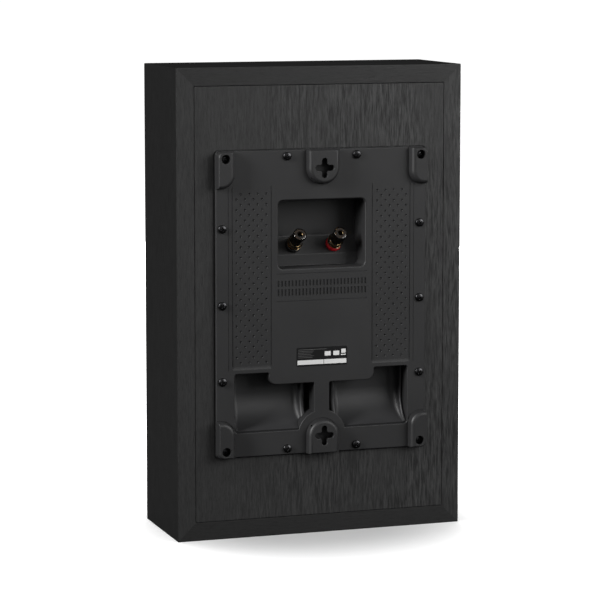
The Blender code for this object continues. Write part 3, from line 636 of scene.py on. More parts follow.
def make_cabinet():
    ring = carcass()
    corners = {(sx, sz): Vector((sx * HALF_WIDTH, 0, Z_MID + sz * HEIGHT / 2))
               for sx in (1, -1) for sz in (1, -1)}
    for side, sx in SIDES.items():
        planes = [(corners[sx, sz], Vector((-sx, 0, sz))) for sz in (1, -1)]
        stand_for(f"side_board_{side}", mitred(ring, planes), VINYL_UP)
    for name, sz in (("top_board", 1), ("bottom_board", -1)):
        planes = [(corners[sx, sz], Vector((sx, 0, -sz))) for sx in (1, -1)]
        stand_for(name, mitred(ring, planes), VINYL_ACROSS_PAINTED_SHADE)
    bpy.data.meshes.remove(ring)


def make_rear_panel():
    low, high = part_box("rear_panel")
    outline = rounded_rectangle(high.x, high.z - Z_MID, 0.7 * MM, cz=Z_MID, steps=3)
    opening = rounded_rectangle(78 * MM, 113 * MM, 5 * MM, cz=Z_MID)
    groove = rounded_rectangle(82.5 * MM, 117.5 * MM, 6 * MM, cz=Z_MID)
    outside = rounded_rectangle(PLATE_X + 0.9 * MM, PLATE_Z + 0.9 * MM, 3.5 * MM, cz=Z_MID)
    inside = rounded_rectangle(PLATE_X - 1.5 * MM, PLATE_Z - 1.5 * MM, 2 * MM, cz=Z_MID)
    shadow_gap = cut(prism(outside, Y_BACK - 1.2 * MM, Y_BACK + MM),
                     prism(inside, Y_BACK - 2 * MM, Y_BACK + 2 * MM))
    panel = cut(block(outline, low.y, Y_BACK, 0.4 * MM), prism(opening, low.y - MM, Y_BACK + MM),
                prism(groove, Y_BACK - 1.6 * MM, Y_BACK + MM), shadow_gap)
    stand_for("rear_panel", panel, VINYL_UP)


# ---------------------------------------------------------------- rear module
KEYHOLE_Z = 110 * MM
KEYHOLE_PAD_R = 13.6 * MM
PORT_IN = 6.5 * MM
PORT_OUT = 75 * MM
PORT_TOP = -56.5 * MM
PORT_TAB = -66.5 * MM
PORT_BOTTOM = -105.2 * MM
PORT_RING_R = 20.5 * MM
Y_BODY = Y_BACK - 3.5 * MM
Y_POCKET = Y_BACK - 23 * MM
MODULE_WALL = 2.7 * MM
CUP_HALF_X = 37.5 * MM
CUP_TOP = 83.7 * MM
CUP_BOTTOM = 28 * MM
CUP_BACK_Y = Y_BACK - 24.5 * MM
POST_TILT = math.radians(31)
POST_X = 17.5 * MM
POST_BASE = Vector((0, Y_BACK - 20 * MM, Z_MID + 44.1 * MM))
ZONE_IN = 43.6 * MM
ZONE_OUT = 76.7 * MM
ZONE_LINE = 80 * MM
ZONE_TOP = 96 * MM
ZONE_BOTTOM = -53.5 * MM
ZONE_DEPTH = 0.45 * MM
ZONE_FILLET = 12 * MM
LABEL_X = 21.6 * MM
LABEL_Z = 7.5 * MM
LABEL_MID = Z_MID - 45.2 * MM


def keyhole_outline():
    """Four-way keyhole: a plus with round ends and a larger round centre."""
    half = 2.45
    hub = 4.2
    turn = math.degrees(math.asin(half / hub))
    points = []
    for angle in (0, 90, 180, 270):
        reach = math.radians(angle)
        points += arc(5.75 * math.cos(reach), 5.75 * math.sin(reach), half, angle - 90, angle + 90, 8)
        points += arc(0, 0, hub, angle + turn, angle + 90 - turn, 4)
    return [(x * MM, z * MM) for x, z in points]


def keyhole_pad_outline(inset):
    """Half-round pad that ends at the plate's edge."""
    edge = PLATE_Z - 0.1 * MM - 0.4 * inset
    radius = KEYHOLE_PAD_R - inset
    return [(radius, edge), (-radius, edge)] + arc(0, KEYHOLE_Z, radius, 180, 360, 32)


def corner_pad_outline(inset):
    """Left corner pad: upright outer side, sloping inner side, long round inner end."""
    inner = 75.6 * MM + 1.25 * inset
    outer = 90.2 * MM - 0.3 * inset
    foot = PLATE_Z - 30.4 * MM + inset
    top = PLATE_Z - 0.1 * MM - 0.4 * inset
    return filleted([(outer, foot, 0.5 * MM), (outer, top, 4 * MM), (inner, top, 0.5 * MM),
                     (inner, foot, 11 * MM - inset)], 10)


def raised_pad(outline, turn):
    """Drafted pad with a rounded top edge."""
    radius = min(3 * MM, 0.9 * (Y_PAD - Y_PLATE))
    draft = 0.5 * MM
    sections = [(outline(0), Y_PLATE - MM), (outline(0), Y_PLATE)]
    for inset, rise in rounding(radius, 6):
        sections.append((outline(draft + inset), Y_PAD - radius + rise))
    return loft([(shifted(turn(ring), Z_MID), y) for ring, y in sections])


def cup_profile(grow):
    """Side view (y, z) of the terminal recess, or of its shell when grown by a wall."""
    cos = math.cos(POST_TILT)
    sin = math.sin(POST_TILT)
    face = POST_BASE - Vector((0, cos, sin)) * grow
    back = CUP_BACK_Y - grow
    rise = (face.y - back) / sin
    down = 8 * MM + 0.3 * grow
    knee = (face.y + sin * down, face.z - cos * down)
    foot = Z_MID + CUP_BOTTOM - grow
    top = Z_MID + CUP_TOP + grow
    front = Y_BACK if grow else Y_PLATE + MM
    corners = [(front, foot, 0), (front, top, 0), (back, top, 1.5 * MM), (back, face.z + cos * rise, 3 * MM),
               (*knee, 2 * MM), (knee[0] + 0.3 * MM, foot, 0.6 * MM)]
    return filleted(corners, 3)


def cup_mouth():
    middle = Z_MID + (CUP_TOP + CUP_BOTTOM) / 2
    return rounded_rectangle(CUP_HALF_X, (CUP_TOP - CUP_BOTTOM) / 2, 4 * MM, cz=middle, steps=5)


def port_mouth(with_tab=True):
    """Mouth of the left-hand port pocket."""
    ring_start = math.degrees(math.asin((PORT_BOTTOM + KEYHOLE_Z) / PORT_RING_R))
    ring_end = math.degrees(math.acos(PORT_IN / PORT_RING_R))
    ring = arc(0, -KEYHOLE_Z, PORT_RING_R, ring_end, ring_start, 12)
    top = [(PORT_OUT, PORT_BOTTOM, 3 * MM), (PORT_OUT, PORT_TOP, 2 * MM)]
    if with_tab:
        top += [(45.5 * MM, PORT_TOP, 1.2 * MM), (45.5 * MM, PORT_TAB, 6 * MM), (PORT_IN, PORT_TAB, 1.5 * MM)]
    else:
        top += [(PORT_IN, PORT_TOP, 0)]
    outline = filleted(top + [(x, z, 0) for x, z in ring])
    return shifted(outline, Z_MID)


def module_blank():
    """Plate, body, shells of the recess and ports, and the wall pads in one moulding."""
    plate = rounded_rectangle(PLATE_X, PLATE_Z, 3 * MM, cz=Z_MID)
    body = rounded_rectangle(77.7 * MM, 112.7 * MM, 5 * MM, cz=Z_MID)
    shell = block(plate, Y_BACK + GAP, Y_PLATE, 0.8 * MM)
    cup = prism(cup_profile(3 * MM), -CUP_HALF_X - 3 * MM, CUP_HALF_X + 3 * MM, "X")
    pockets = []
    for sign in SIDES.values():
        ends = sorted((sign * 3.5 * MM, sign * 77.7 * MM))
        pockets.append(box((ends[0], Y_POCKET - MODULE_WALL, Z_MID + PORT_BOTTOM - MODULE_WALL),
                           (ends[1], Y_BODY + MM, Z_MID + PORT_TOP + MODULE_WALL)))
    places = []
    for turn in (list, flipped):
        places += [(keyhole_pad_outline, turn), (corner_pad_outline, turn),
                   (corner_pad_outline, lambda ring, turn=turn: mirrored(turn(ring)))]
    pads = [raised_pad(outline, turn) for outline, turn in places]
    grooves = [prism(shifted(turn(offset(outline(0), 0.4 * MM)), Z_MID), Y_PLATE - 0.35 * MM, Y_PLATE + MM)
               for outline, turn in places]
    return unite(cut(shell, *grooves), prism(body, Y_BODY, Y_BACK + MM), cup, *pockets, *pads)


def zone_floor(z):
    """Depth below the plate of a dotted zone's sloping floor."""
    return ZONE_DEPTH * (Z_MID + ZONE_TOP - z) / (ZONE_TOP - ZONE_BOTTOM)


def zone_cutters():
    """Wedges that sink the dotted zones towards their lower, rounded end, and the fine lines beside them."""
    low = Z_MID + ZONE_BOTTOM
    top = Z_MID + ZONE_TOP
    run = math.sqrt(ZONE_FILLET ** 2 - (ZONE_FILLET - ZONE_DEPTH) ** 2)
    sweep = math.degrees(math.acos(1 - ZONE_DEPTH / ZONE_FILLET))
    ramp = [(Y_PLATE + MM, top), (Y_PLATE, top)]
    ramp += arc(Y_PLATE - ZONE_DEPTH + ZONE_FILLET, low + run, ZONE_FILLET, 180, 180 + sweep, 6)
    ramp += [(Y_PLATE + MM, low)]
    line = [(Y_PLATE + MM, top), (Y_PLATE - 0.4 * MM, top), (Y_PLATE - ZONE_DEPTH - 0.4 * MM, low + run),
            (Y_PLATE + MM, low + run)]
    tools = []
    for sign in SIDES.values():
        tools.append(prism(ramp, *sorted((sign * ZONE_IN, sign * ZONE_OUT)), "X"))
        for x in (ZONE_IN, ZONE_OUT):
            tools.append(prism(line, sign * x - 0.22 * MM, sign * x + 0.22 * MM, "X"))
        x = sign * ZONE_LINE
        tools.append(box((x - 0.2 * MM, Y_PLATE - 0.25 * MM, low), (x + 0.2 * MM, Y_PLATE + MM, top)))
    return tools


def dimples():
    """Staggered rows of small dimples on both dotted zones."""
    pitch = 7.25 * MM
    row_pitch = 4.3 * MM
    rows = 33
    dent = [(0, -0.8), (0.6, -0.65), (1.05, -0.15), (1.2, 0.3), (0, 0.3)]
    dents = []
    for row in range(rows):
        z = Z_MID + ZONE_TOP - 6 * MM - row * row_pitch
        first = 47.8 * MM + (pitch / 2 if row % 2 else 0)
        for k in range(4):
            x = first + k * pitch
            for sign in SIDES.values():
                place = Matrix.Translation((sign * x, Y_PLATE - zone_floor(z), z))
                dents.append(turned(dent, 8, place=place))
    return joined(dents)


def keyhole_cutters():
    tools = []
    for sign in (1, -1):
        centre = Z_MID + sign * KEYHOLE_Z
        tools.append(mouth(shifted(keyhole_outline(), centre), Y_PAD - 3.1 * MM, Y_PAD, 0.35 * MM))
        room = rounded_rectangle(11 * MM, 9.5 * MM, 3 * MM, cz=centre)
        tools.append(prism(room, Y_PLATE - 2.2 * MM, Y_PAD - 2.6 * MM))
    return tools


def screw_places():
    """Middle of each module screw and pad screw in the plate, as (x, z), from the CAD heads."""
    places = {}
    for node in NODES:
        if "_screw_" in node:
            low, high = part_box(node)
            places[node] = ((low.x + high.x) / 2, (low.z + high.z) / 2)
    return places


def rib_cutters():
    """Plain ribbed band under the recess: two rows of short grooves between two fine lines."""
    half = 39 * MM
    grooves = []
    for z in (Z_MID + 24 * MM, Z_MID + 1.5 * MM):
        grooves.append(box((-half, Y_PLATE - 0.5 * MM, z - 0.25 * MM), (half, Y_PLATE + MM, z + 0.25 * MM)))
    for low, high in ((13.6, 18.4), (6.0, 11.4)):
        count = 26
        for i in range(count):
            x = -half + (i + 0.5) * 2 * half / count
            grooves.append(box((x - 0.8 * MM, Y_PLATE - 0.65 * MM, Z_MID + low * MM),
                               (x + 0.8 * MM, Y_PLATE + MM, Z_MID + high * MM)))
    return joined(grooves)


def fastener_cutters():
    shank = [(0, -6), (2.4, -6), (2.4, 1), (0, 1)]
    well = [(0, -6), (3.7, -6), (3.7, -0.4), (3.82, -0.12), (4.1, 0), (4.1, 1), (0, 1)]
    holes = []
    wells = []
    for node, (x, z) in screw_places().items():
        holes.append(turned(shank, 16, place=Matrix.Translation((x, Y_PLATE, z))))
        if node.startswith("pad"):
            wells.append(turned(well, 32, place=Matrix.Translation((x, Y_PAD, z))))
    label = rounded_rectangle(LABEL_X + GAP, LABEL_Z + GAP, 1.1 * MM, cz=LABEL_MID)
    stud = [(0, -5), (3.4, -5), (3.4, 4), (0, 4)]
    studs = [turned(stud, 24, place=post_place(sign * POST_X)) for sign in SIDES.values()]
    return [joined(holes), joined(wells), joined(studs), prism(label, Y_PLATE - 0.6 * MM, Y_PLATE + MM)]


def port_cutters():
    tools = []
    for side, sign in SIDES.items():
        turn = list if sign > 0 else mirrored
        low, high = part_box(f"port_duct_{side}")
        tools.append(mouth(turn(port_mouth()), Y_BODY - 0.5 * MM, Y_PLATE, 0.6 * MM))
        tools.append(prism(turn(port_mouth(False)), Y_POCKET, Y_BODY))
        tools.append(box((low.x - GAP, Y_POCKET + 2.1 * MM, Z_MID + PORT_TOP - MM),
                         (high.x + GAP, Y_BODY - 0.1 * MM, Z_MID + PORT_TOP + 4 * MM)))
    return tools


def make_module():
    reach = prism(cup_mouth(), CUP_BACK_Y - 2 * MM, Y_PLATE + 2 * MM)
    recess = combine(prism(cup_profile(0), -CUP_HALF_X - MM, CUP_HALF_X + MM, "X"), reach, "INTERSECT")
    rim = mouth(cup_mouth(), Y_PLATE - 4 * MM, Y_PLATE, 1.3 * MM)
    shell = cut(module_blank(), recess, rim, *zone_cutters(), *port_cutters(), *keyhole_cutters(),
                *fastener_cutters(), rib_cutters(), dimples())
    stand_for("rear_module", shell, PLASTIC, 32, "moulding")


# ---------------------------------------------------------------- reflex ducts
DUCT_WALL = 2.4 * MM


def scoop(side, sign):
    """Curved outlet of a duct: a floor that turns outward, with round inner corners and rimmed sides."""
    low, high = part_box(f"port_duct_{side}")
    wall = DUCT_WALL
    near_lip = 2 * MM
    radius = 30 * MM
    centre_y = Y_BACK + 12 * MM
    centre_z = Z_MID - 75.5 * MM
    last = math.acos((centre_y - Y_PLATE + MM) / radius)
    stations = [(centre_y - radius, Z_MID + PORT_TOP + 3 * MM, 0.0)]
    stations += [(centre_y - radius * math.cos(last * i / 20), centre_z - radius * math.sin(last * i / 20),
                  last * i / 20) for i in range(21)]
    rings = []
    for y, z, turn in stations:
        rim = (10 - 9.2 * (turn / last) ** 1.4) * MM
        crown = min(1.6 * MM, 0.45 * rim)
        fillet = min(5.5 * MM, rim - crown)
        inner = PORT_OUT - 0.4 * MM - wall
        near = low.x + wall if sign > 0 else -high.x + wall
        bow = arc(near + fillet, fillet, fillet, 180, 270, 7)
        bow += arc(inner - fillet, fillet, fillet, 270, 360, 7)
        ring = []
        for x, half, curve in ((near - near_lip, near_lip, bow), (inner + wall / 2, wall / 2, [])):
            ring += [(x - half * math.cos(math.pi * i / 8), rim - crown + crown * math.sin(math.pi * i / 8))
                     for i in range(9)] + curve
        ring += [(inner + wall, -wall), (near - 2 * near_lip, -wall)]
        rings.append([(sign * x, y + n * math.cos(turn), z + n * math.sin(turn)) for x, n in ring])
    return bridged(rings)


def make_duct(side, sign):
    """Flat tube behind the plate with its curved outlet, cut clear of the lower keyhole."""
    low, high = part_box(f"port_duct_{side}")
    middle = ((low.x + high.x) / 2, Y_BACK - 12.15 * MM)
    half_x = (high.x - low.x) / 2
    half_y = (Y_BODY - 0.4 * MM - (Y_BACK - 20.4 * MM)) / 2
    sections = []
    for z, grow in ((Z_MID + PORT_TOP + 0.5 * MM, 0), (high.z - 1 * MM, 0), (high.z, -0.8 * MM)):
        ring = rounded_rectangle(half_x + grow, half_y + grow, 3 * MM, *middle)
        sections.append([(x, y, z) for x, y in ring])
    bore = rounded_rectangle(half_x - DUCT_WALL, half_y - DUCT_WALL, 2 * MM, *middle)
    hollow = bridged([[(x, y, z) for x, y in bore] for z in (Z_MID + PORT_TOP - 9 * MM, high.z + 9 * MM)])
    tube = cut(bridged(sections), hollow)
    ring = turned([(0, -40), (20.8, -40), (20.8, 40), (0, 40)], 64,
                  place=Matrix.Translation((0, Y_BACK, Z_MID - KEYHOLE_Z)))
    stand_for(f"port_duct_{side}", joined([tube, cut(scoop(side, sign), ring)]), DUCT_PLASTIC_PAINTED_LIGHT, 35)


# ---------------------------------------------------------------- screws and label
def cross_recess(radius, depth, width):
    """Two crossed tapered slots about +Y, cutting down from height zero."""
    slots = []
    for turn in (0, 90):
        top = rounded_rectangle(radius, width, width * 0.6, steps=2)
        bottom = rounded_rectangle(radius * 0.35, width * 0.6, width * 0.35, steps=2)
        slot = loft([(bottom, -depth), (top, 0), (top, 2 * MM)])
        slot.transform(Matrix.Rotation(math.radians(turn), 4, "Y"))
        slots.append(slot)
    return slots


def screw_mesh(head_r, head_h, length):
    """Pan-head screw with a cross recess; the head's underside is at height zero."""
    dome = [(head_r, 0)]
    dome += [(head_r * math.cos(t), head_h * (0.35 + 0.65 * math.sin(t))) for t in quarter(7, False)]
    profile = [(0, -length), (1.5, -length + 1), (2, -length + 3), (2, 0)] + dome + [(0, head_h)]
    mesh = turned(profile, 40)
    recess = cross_recess(0.56 * head_r * MM, 1.3 * MM, 0.42 * MM)
    for slot in recess:
        slot.transform(Matrix.Translation((0, (head_h - 0.05) * MM, 0)))
    return bevelled(cut(mesh, *recess), 0.06 * MM, 1, 50)


def make_screws():
    """Each screw is turned a little differently, as driven screws are."""
    heads = {"module": (3.5, 2.1, 12), "pad": (3.3, 2.1, 15)}
    for number, (node, (x, z)) in enumerate(screw_places().items()):
        head_r, head_h, length = heads[node.split("_")[0]]
        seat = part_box(node)[0].y + length * MM
        mesh = screw_mesh(head_r, head_h, length)
        mesh.transform(Matrix.Translation((x, seat, z)) @ Matrix.Rotation(0.7 * number, 4, "Y"))
        stand_for(node, mesh, BLACK_STEEL, 30)


def make_label():
    """Dark film with plain printed bars: one broad strip, rows of fine lines and a few short blocks."""
    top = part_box("rating_label")[1].y
    outline = rounded_rectangle(LABEL_X, LABEL_Z, 0.8 * MM, cz=LABEL_MID)
    film = block(outline, Y_PLATE - 0.3 * MM, top - 0.02 * MM, 0.02 * MM)
    label = stand_for("rating_label", film, LABEL_FILM, suffix="film")
    bold = [(-21.2, -1.8, -6.3, -2.6), (-1.4, 21.2, -6.3, -2.6), (-7.6, -2.4, 0.4, 4.0),
            (-15.0, -9.8, 0.4, 4.0), (-20.6, -16.8, 2.0, 5.4), (-20.8, -16.4, 0.3, 1.1)]
    fine = [(-4.0, 20.8, 5.9, 6.2)]
    fine += [(7.0 + 1.2 * (row % 3), 20.8, 4.6 - 1.3 * row, 4.85 - 1.3 * row) for row in range(5)]
    for name, bars, finish in (("print", bold, INK), ("small_print", fine, GREY_INK)):
        prints = [box((x0 * MM, top - 0.03 * MM, LABEL_MID + z0 * MM), (x1 * MM, top, LABEL_MID + z1 * MM))
                  for x0, x1, z0, z1 in bars]
        ink = show(f"rating_label_{name}", joined(prints), finish, "root")
        ink.parent = label
        ink.matrix_parent_inverse = Matrix.Identity(4)


# ---------------------------------------------------------------- binding posts
def post_place(x):
    """Turns and moves a piece built about +Y onto a binding post's axis."""
    return Matrix.Translation(POST_BASE + Vector((x, 0, 0))) @ Matrix.Rotation(POST_TILT, 4, "X")


def knurled(radius, start, end, count, depth):
    """Ring of fine ribs along the axis, between two distances in millimetres."""
    outline = []
    steps = 4 * count
    for i in range(steps):
        turn = math.tau * i / steps
        reach = radius - depth * (0.5 + 0.5 * math.cos(turn * count))
        outline.append((reach * MM * math.cos(turn), reach * MM * math.sin(turn)))
    edge = 0.35
    sections = [(offset(outline, -edge * MM), start * MM), (outline, (start + edge) * MM),
                (outline, (end - edge) * MM), (offset(outline, -edge * MM), end * MM)]
    return loft(sections)


def make_post(colour, x):
    place = post_place(x)
    stud = [(0, -12), (2.6, -12), (3, -11.6), (3, 21.3), (2.8, 21.5), (2.3, 21.5), (2.1, 21.3),
            (2.1, 7), (0, 7)]
    stand_for(f"terminal_stud_{colour}", turned(stud, 32, place=place), STUD_BRASS_PAINTED_SHADE)
    ring = [(3.3, 0.3), (6.3, 0.3), (6.6, 0.6), (6.6, 2.6), (6.1, 3.2), (5.6, 3.3), (3.3, 3.3)]
    stand_for(f"terminal_ring_{colour}", turned(ring, 48, True, place), RED if colour == "red" else BLACK)
    washer = [(3.3, 3.6), (5.2, 3.6), (5.4, 3.8), (5.4, 4.4), (5.2, 4.6), (3.3, 4.6)]
    stand_for(f"terminal_washer_{colour}", turned(washer, 48, True, place), GOLD)
    core = cut(knurled(4.55, 4.9, 21.4, 18, 0.25), turned([(0, 0), (3.25, 0), (3.25, 30), (0, 30)], 32))
    core.transform(place)
    stand_for(f"terminal_knob_{colour}", core, GOLD, suffix="core")
    jacket = [(4.7, 5.2), (6.2, 5.2), (6.4, 5.5), (6.4, 8.2), (5.0, 9.6), (4.9, 11.2), (5.6, 12), (5.6, 21.6),
              (5.1, 22.2), (4.3, 22.4), (2.3, 22.4), (2.2, 22.2), (2.2, 21.8), (4.7, 21.8)]
    show(f"terminal_jacket_{colour}", turned(jacket, 48, True, place), CLEAR, f"knob_{colour}")
    finish_node(f"terminal_nut_{colour}", STEEL)


# ---------------------------------------------------------------- grille
def cloth_skin(outline, side_back, front, shrink):
    """Tray with a rounded front edge, made smaller all round by shrink."""
    radius = 2.2 * MM
    sections = [(offset(outline, -shrink), side_back)]
    sections += [(offset(outline, -inset - shrink * (rise < radius)), front + shrink + radius - rise)
                 for inset, rise in rounding(radius, 5)]
    middle = [(x * 0.5, Z_MID + (z - Z_MID) * 0.5) for x, z in sections[-1][0]]
    return loft(sections + [(middle, front + shrink)])


def make_grille():
    """Stretched cloth that wraps the front and the sides of its frame."""
    low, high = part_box("grille_cloth")
    outline = rounded_rectangle(high.x, (high.z - low.z) / 2, 9.8 * MM, cz=Z_MID, steps=8)
    side_back = Y_FRONT - 1.2 * MM
    cloth = cloth_skin(outline, side_back, low.y, 0)
    lining = cloth_skin(outline, side_back, low.y, 0.7 * MM)
    lining.transform(Matrix.Translation((0, 0.01 * MM, 0)))
    for vert in lining.vertices:
        if vert.co.y > side_back - 0.1 * MM:
            vert.co.y += 2 * MM
    sheet = cut(cloth, lining)
    piece = stand_for("grille_cloth", sheet, CLOTH, 60)
    finish_node("grille_frame", DRIVER_PLASTIC)


# ---------------------------------------------------------------- drivers
FLEX_SECTORS = 16
FLEX_GAP = 0.0003  # radians between a sector's end and its neighbour's, halved


def driver_place(node):
    """Moves a piece built about +Y onto its driver's axis."""
    low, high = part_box(node)
    return Matrix.Translation((0, Y_FRONT, (low.z + high.z) / 2))


def flange_screws(name, z, circle, count):
    """Small black screws round a driver's flange, heads towards the grille."""
    meshes = []
    for i in range(count):
        turn = math.tau * (i + 0.5) / count
        mesh = screw_mesh(2.9, 1.4, 10)
        mesh.transform(Matrix.Rotation(math.pi, 4, "X"))
        seat = (circle * math.sin(turn) * MM, Y_FRONT, z + circle * math.cos(turn) * MM)
        mesh.transform(Matrix.Translation(seat))
        meshes.append(mesh)
    show(name, joined(meshes), BLACK_STEEL, "root", 30)


def driver_part(node, profile, finish, steps=72):
    stand_for(node, turned(profile, steps, True, driver_place(node)), finish, 30)


def sector(profile, start, end, steps, place):
    """Closed part of a turned loop of (radius, distance) points, between two angles in radians."""
    rings = []
    for i in range(steps + 1):
        turn = start + (end - start) * i / steps
        rings.append([(r * MM * math.cos(turn), d * MM, r * MM * math.sin(turn)) for r, d in profile])
    mesh = bridged(rings)
    mesh.transform(place)
    return mesh


def flexing_part(node, profile, finish, steps, fixed):
    """Ring held by the basket at one radius and by the cone at another.

    It is made of sectors a hair apart.
    """
    place = driver_place(node)
    half = math.pi / FLEX_SECTORS
    fixed *= math.cos(half)
    for i in range(FLEX_SECTORS):
        middle = 2 * half * i
        reach = half - FLEX_GAP
        mesh = sector(profile, middle - reach, middle + reach, steps // FLEX_SECTORS, place)
        obj = show(f"{node}_sector_{i + 1}", mesh, finish, None, 30)
        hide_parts(node)
        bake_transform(obj)


def bowl(radius, rim, depth, steps):
    """Profile of a shallow dome from its rim to its middle."""
    side = [(radius * math.cos(t), rim - depth * math.sin(t)) for t in quarter(steps, False)]
    return side + [(0, rim - depth)]


def finish_motor(driver):
    for part, finish in (("voice_coil", COPPER), ("top_plate", STEEL), ("magnet", FERRITE), ("yoke", STEEL)):
        finish_node(f"{driver}_{part}", finish)


def half_roll(radius, start, end):
    """Arc of the surround's roll, as (radius, depth) points in millimetres."""
    return arc(55.9, 4.2, radius, start, end, 16)


def make_woofer():
    basket = cad_copy("woofer_basket")
    stand_for("woofer_basket", bevelled(basket, 0.4 * MM, 2, 40), DRIVER_PLASTIC, 35)
    surround = [(65.5, 1.8)] + half_roll(4.8, -30, -170) + [(48, 4.4), (48, 5.1), (51.6, 5.1)]
    surround += half_roll(4.0, -170, -25) + [(65.5, 2.5)]
    flexing_part("woofer_surround", surround, RUBBER, 96, 60.7)
    tenths = [i / 10 for i in range(11)]
    face = [(47.8 - 29.6 * t - 2.2 * math.sin(math.pi * t), 6.3 + 17.7 * t) for t in tenths]
    back = [(46.8 - 30 * t - 2.2 * math.sin(math.pi * t), 5.4 + 17.8 * t) for t in tenths]
    cone = [(51, 5.4), (51, 6.2)] + face + [(18.2, 27), (16.8, 27)] + back[::-1]
    driver_part("woofer_cone", cone, PULP, 96)
    driver_part("woofer_dust_cap", bowl(21.3, 19, 7, 12) + bowl(20.6, 19.4, 6.6, 12)[::-1], PULP)
    ridges = [(17 + 27 * i / 60, 28 + 0.9 * math.sin(math.tau * 4.5 * i / 60)) for i in range(61)]
    spider = ridges + [(r, d + 0.6) for r, d in reversed(ridges)]
    flexing_part("woofer_spider", spider, SPIDER_CLOTH, 80, 43.0)
    finish_motor("woofer")
    flange_screws("woofer_flange_screws", WOOFER_Z, 70.6, 6)


def make_tweeter():
    horn = [(17.4 + 13.6 * t, 2.6 * (1 - t) ** 1.6) for t in [i / 10 for i in range(11)]]
    plate = [(52, 0.5), (51.5, 0)] + list(reversed(horn)) + [(17.4, 3.7), (52, 3.7)]
    driver_part("tweeter_faceplate", list(reversed(plate)), DRIVER_PLASTIC, 96)
    roll = [(18.5, 4.2), (17.6, 3.7), (16.4, 3.25), (15.2, 3.7)]
    skin = bowl(14.4, 4.0, 4.4, 14) + [(0, 0)] + bowl(13.9, 4.5, 4.4, 14)[-2:0:-1]
    driver_part("tweeter_dome", roll + skin + [(13.8, 4.6), (18.5, 4.6)], SILK)
    finish_motor("tweeter")
    flange_screws("tweeter_flange_screws", TWEETER_Z, 46.5, 4)


# ---------------------------------------------------------------- inside
def make_inside():
    finishes = {"front_baffle": PAINT, "cabinet_brace": FIBREBOARD, "module_gasket": FOAM,
                "crossover_board": BOARD_GREEN, "crossover_coil": COPPER, "crossover_capacitor": FILM_WRAP,
                "input_lead": SHEATH, "woofer_lead": SHEATH, "tweeter_lead": SHEATH}
    for node, finish in finishes.items():
        finish_node(node, finish)


def make_wadding():
    """Loose polyester wadding: a pad whose surface rises and falls."""
    low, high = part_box("damping_pad")
    bm = bmesh.new()
    size = high - low - Vector((4, 4, 4)) * MM
    place = Matrix.Translation((low + high) / 2) @ Matrix.Diagonal((*size, 1))
    bmesh.ops.create_cube(bm, size=1, matrix=place)
    bmesh.ops.subdivide_edges(bm, edges=bm.edges, cuts=15, use_grid_fill=True)
    for vert in bm.verts:
        x, y, z = vert.co / (9 * MM)
        swell = math.sin(x * 1.1 + 0.7 * math.sin(z)) * math.cos(y * 1.3 + z)
        swell += 0.5 * math.sin(2.3 * x + 1.9 * y)
        vert.co += (vert.co - (low + high) / 2).normalized() * swell * 1.1 * MM
    piece = stand_for("damping_pad", to_mesh(bm), WADDING, 180)


# ---------------------------------------------------------------- studio
def light(name, position, target, size, power, only=()):
    """Rectangular softbox; with only, it lights those objects and the others still shade them."""
    data = bpy.data.lights.new(name, "AREA")
    data.shape = "RECTANGLE"
    data.size, data.size_y = size
    data.energy = power
    obj = placed(name, data)
    obj.location = position
    obj.rotation_euler = (Vector(target) - Vector(position)).to_track_quat("-Z", "Y").to_euler()
    if only:
        lit = bpy.data.collections.new(f"{name}_receivers")
        for receiver in only:
            lit.objects.link(receiver)
        obj.light_linking.receiver_collection = lit


FLOOR_SEEN = 0.8  # the floor's tone in the picture, and for the light that it throws back
FLOOR_HIDDEN = 0.03
PAINTED_SHADOW_NEAR = 0.07  # metres from the middle, where the floor's glow starts and where it is full; the dark oval inside is a painted shadow
PAINTED_SHADOW_FAR = 0.28
PAINTED_SHADOW_SPREAD = (1.15, 1.0, 1.0)  # narrows the painted shadow's dark oval from side to side
AMBIENT = 0.01  # the sky's strength as a light: everywhere, and at its brightest
DOME = 0.40
DOME_FROM = (-0.40, 0.90, 0.17)
DOME_EDGES = (-0.4, 0.9)
SKY_SEEN = 1.05  # the sky's strength in the picture


def make_floor():
    """Pale studio floor with a glow that rises away from the object, which keeps the cast shadow short; the
    dark oval round the object, where it does not glow, is a painted shadow.
    """
    bm = bmesh.new()
    bmesh.ops.create_circle(bm, cap_ends=True, segments=96, radius=6.0)
    floor = placed("floor", to_mesh(bm))
    finish = Finish("studio_floor", 1.0, specular=0.0)
    seen = finish.add("LightPath").outputs["Is Camera Ray"]
    finish.colour(finish.mix((FLOOR_HIDDEN,) * 3 + (1,), (FLOOR_SEEN,) * 3 + (1,), seen))
    painted_shadow_oval = finish.vector_maths("MULTIPLY", finish.place, PAINTED_SHADOW_SPREAD).outputs[0]
    distance = finish.vector_maths("LENGTH", painted_shadow_oval).outputs["Value"]
    # painted shadow: the glow is nil near the object and full further out
    glow_with_painted_shadow = finish.remap(distance, PAINTED_SHADOW_NEAR, PAINTED_SHADOW_FAR, 0.0, 1.0, "SMOOTHSTEP")
    finish.set(Emission_Color=(1, 1, 1, 1), Emission_Strength=finish.maths("MULTIPLY", glow_with_painted_shadow, seen))
    floor.data.materials.append(finish.material)
    return floor


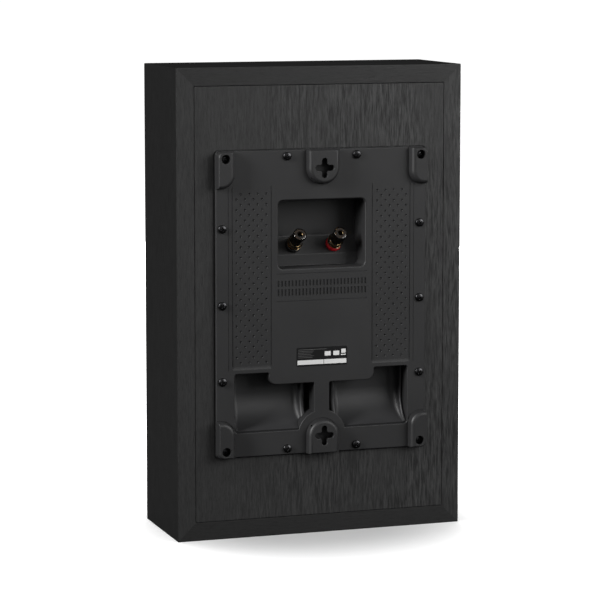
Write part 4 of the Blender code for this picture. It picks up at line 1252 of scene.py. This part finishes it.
def make_world():
    """White to the eye; as a light, a dim dome that is brightest behind the loudspeaker."""
    world = bpy.data.worlds.new("studio")
    bpy.context.scene.world = world
    world.use_nodes = True
    background = world.node_tree.nodes["Background"]
    background.inputs["Color"].default_value = (1, 1, 1, 1)
    tree = Tree(world.node_tree)
    direction = tree.add("TexCoord").outputs["Generated"]
    facing = tree.vector_maths("DOT_PRODUCT", direction, DOME_FROM).outputs["Value"]
    dome = tree.remap(facing, *DOME_EDGES, AMBIENT, DOME, "SMOOTHSTEP")
    seen = tree.add("LightPath").outputs["Is Camera Ray"]
    tree.feed(background.inputs["Strength"], tree.remap(seen, 0.0, 1.0, dome, SKY_SEEN))


def make_lights(floor):
    """Broad key from -X, a strip from +X that is stronger on the rear module, a low front light."""
    middle = (0, 0, Z_MID)
    relief_names = ("rear_module", "port_duct", "module_screw", "terminal")
    relief = [obj for obj in bpy.data.objects if obj.name.startswith(relief_names)]
    light("floor_softbox", (0.1, -0.5, 2.2), (0, 0, 0), (1.2, 0.9), 42, [floor])
    light("rear_softbox", (-1.15, 1.15, 0.8), middle, (1.2, 1.0), 17)
    light("left_softbox", (1.9, 0.6, 1.1), middle, (0.4, 1.0), 23)
    light("relief_softbox", (1.9, 0.6, 1.1), middle, (0.4, 1.0), 45, relief)
    light("front_softbox", (-1.0, -1.8, 0.17), middle, (1.2, 0.34), 26)


def make_camera():
    """Long lens from behind and a little to the left, slightly above."""
    azimuth = math.radians(18.78)  # round from straight behind, towards +X
    elevation = math.radians(6.31)
    data = bpy.data.cameras.new("camera")
    data.lens = 155.9
    data.sensor_width = 36
    data.shift_y = -0.1
    data.clip_start = 0.1
    data.clip_end = 50
    camera = placed("camera", data)
    camera.location = (0.695, 2.041, 0.476)
    cos = math.cos(elevation)
    look = Vector((-math.sin(azimuth) * cos, -math.cos(azimuth) * cos, -math.sin(elevation)))
    camera.rotation_euler = look.to_track_quat("-Z", "Y").to_euler()
    bpy.context.scene.camera = camera
    bpy.context.scene.view_settings.view_transform = "Standard"


# ---------------------------------------------------------------- assembly
make_camera()
make_world()
floor = make_floor()
make_cabinet()
make_rear_panel()
make_module()
for side, sign in SIDES.items():
    make_duct(side, sign)
make_screws()
make_label()
for colour, x in (("black", POST_X), ("red", -POST_X)):
    make_post(colour, x)
make_grille()
make_woofer()
make_tweeter()
make_inside()
make_wadding()
make_lights(floor)
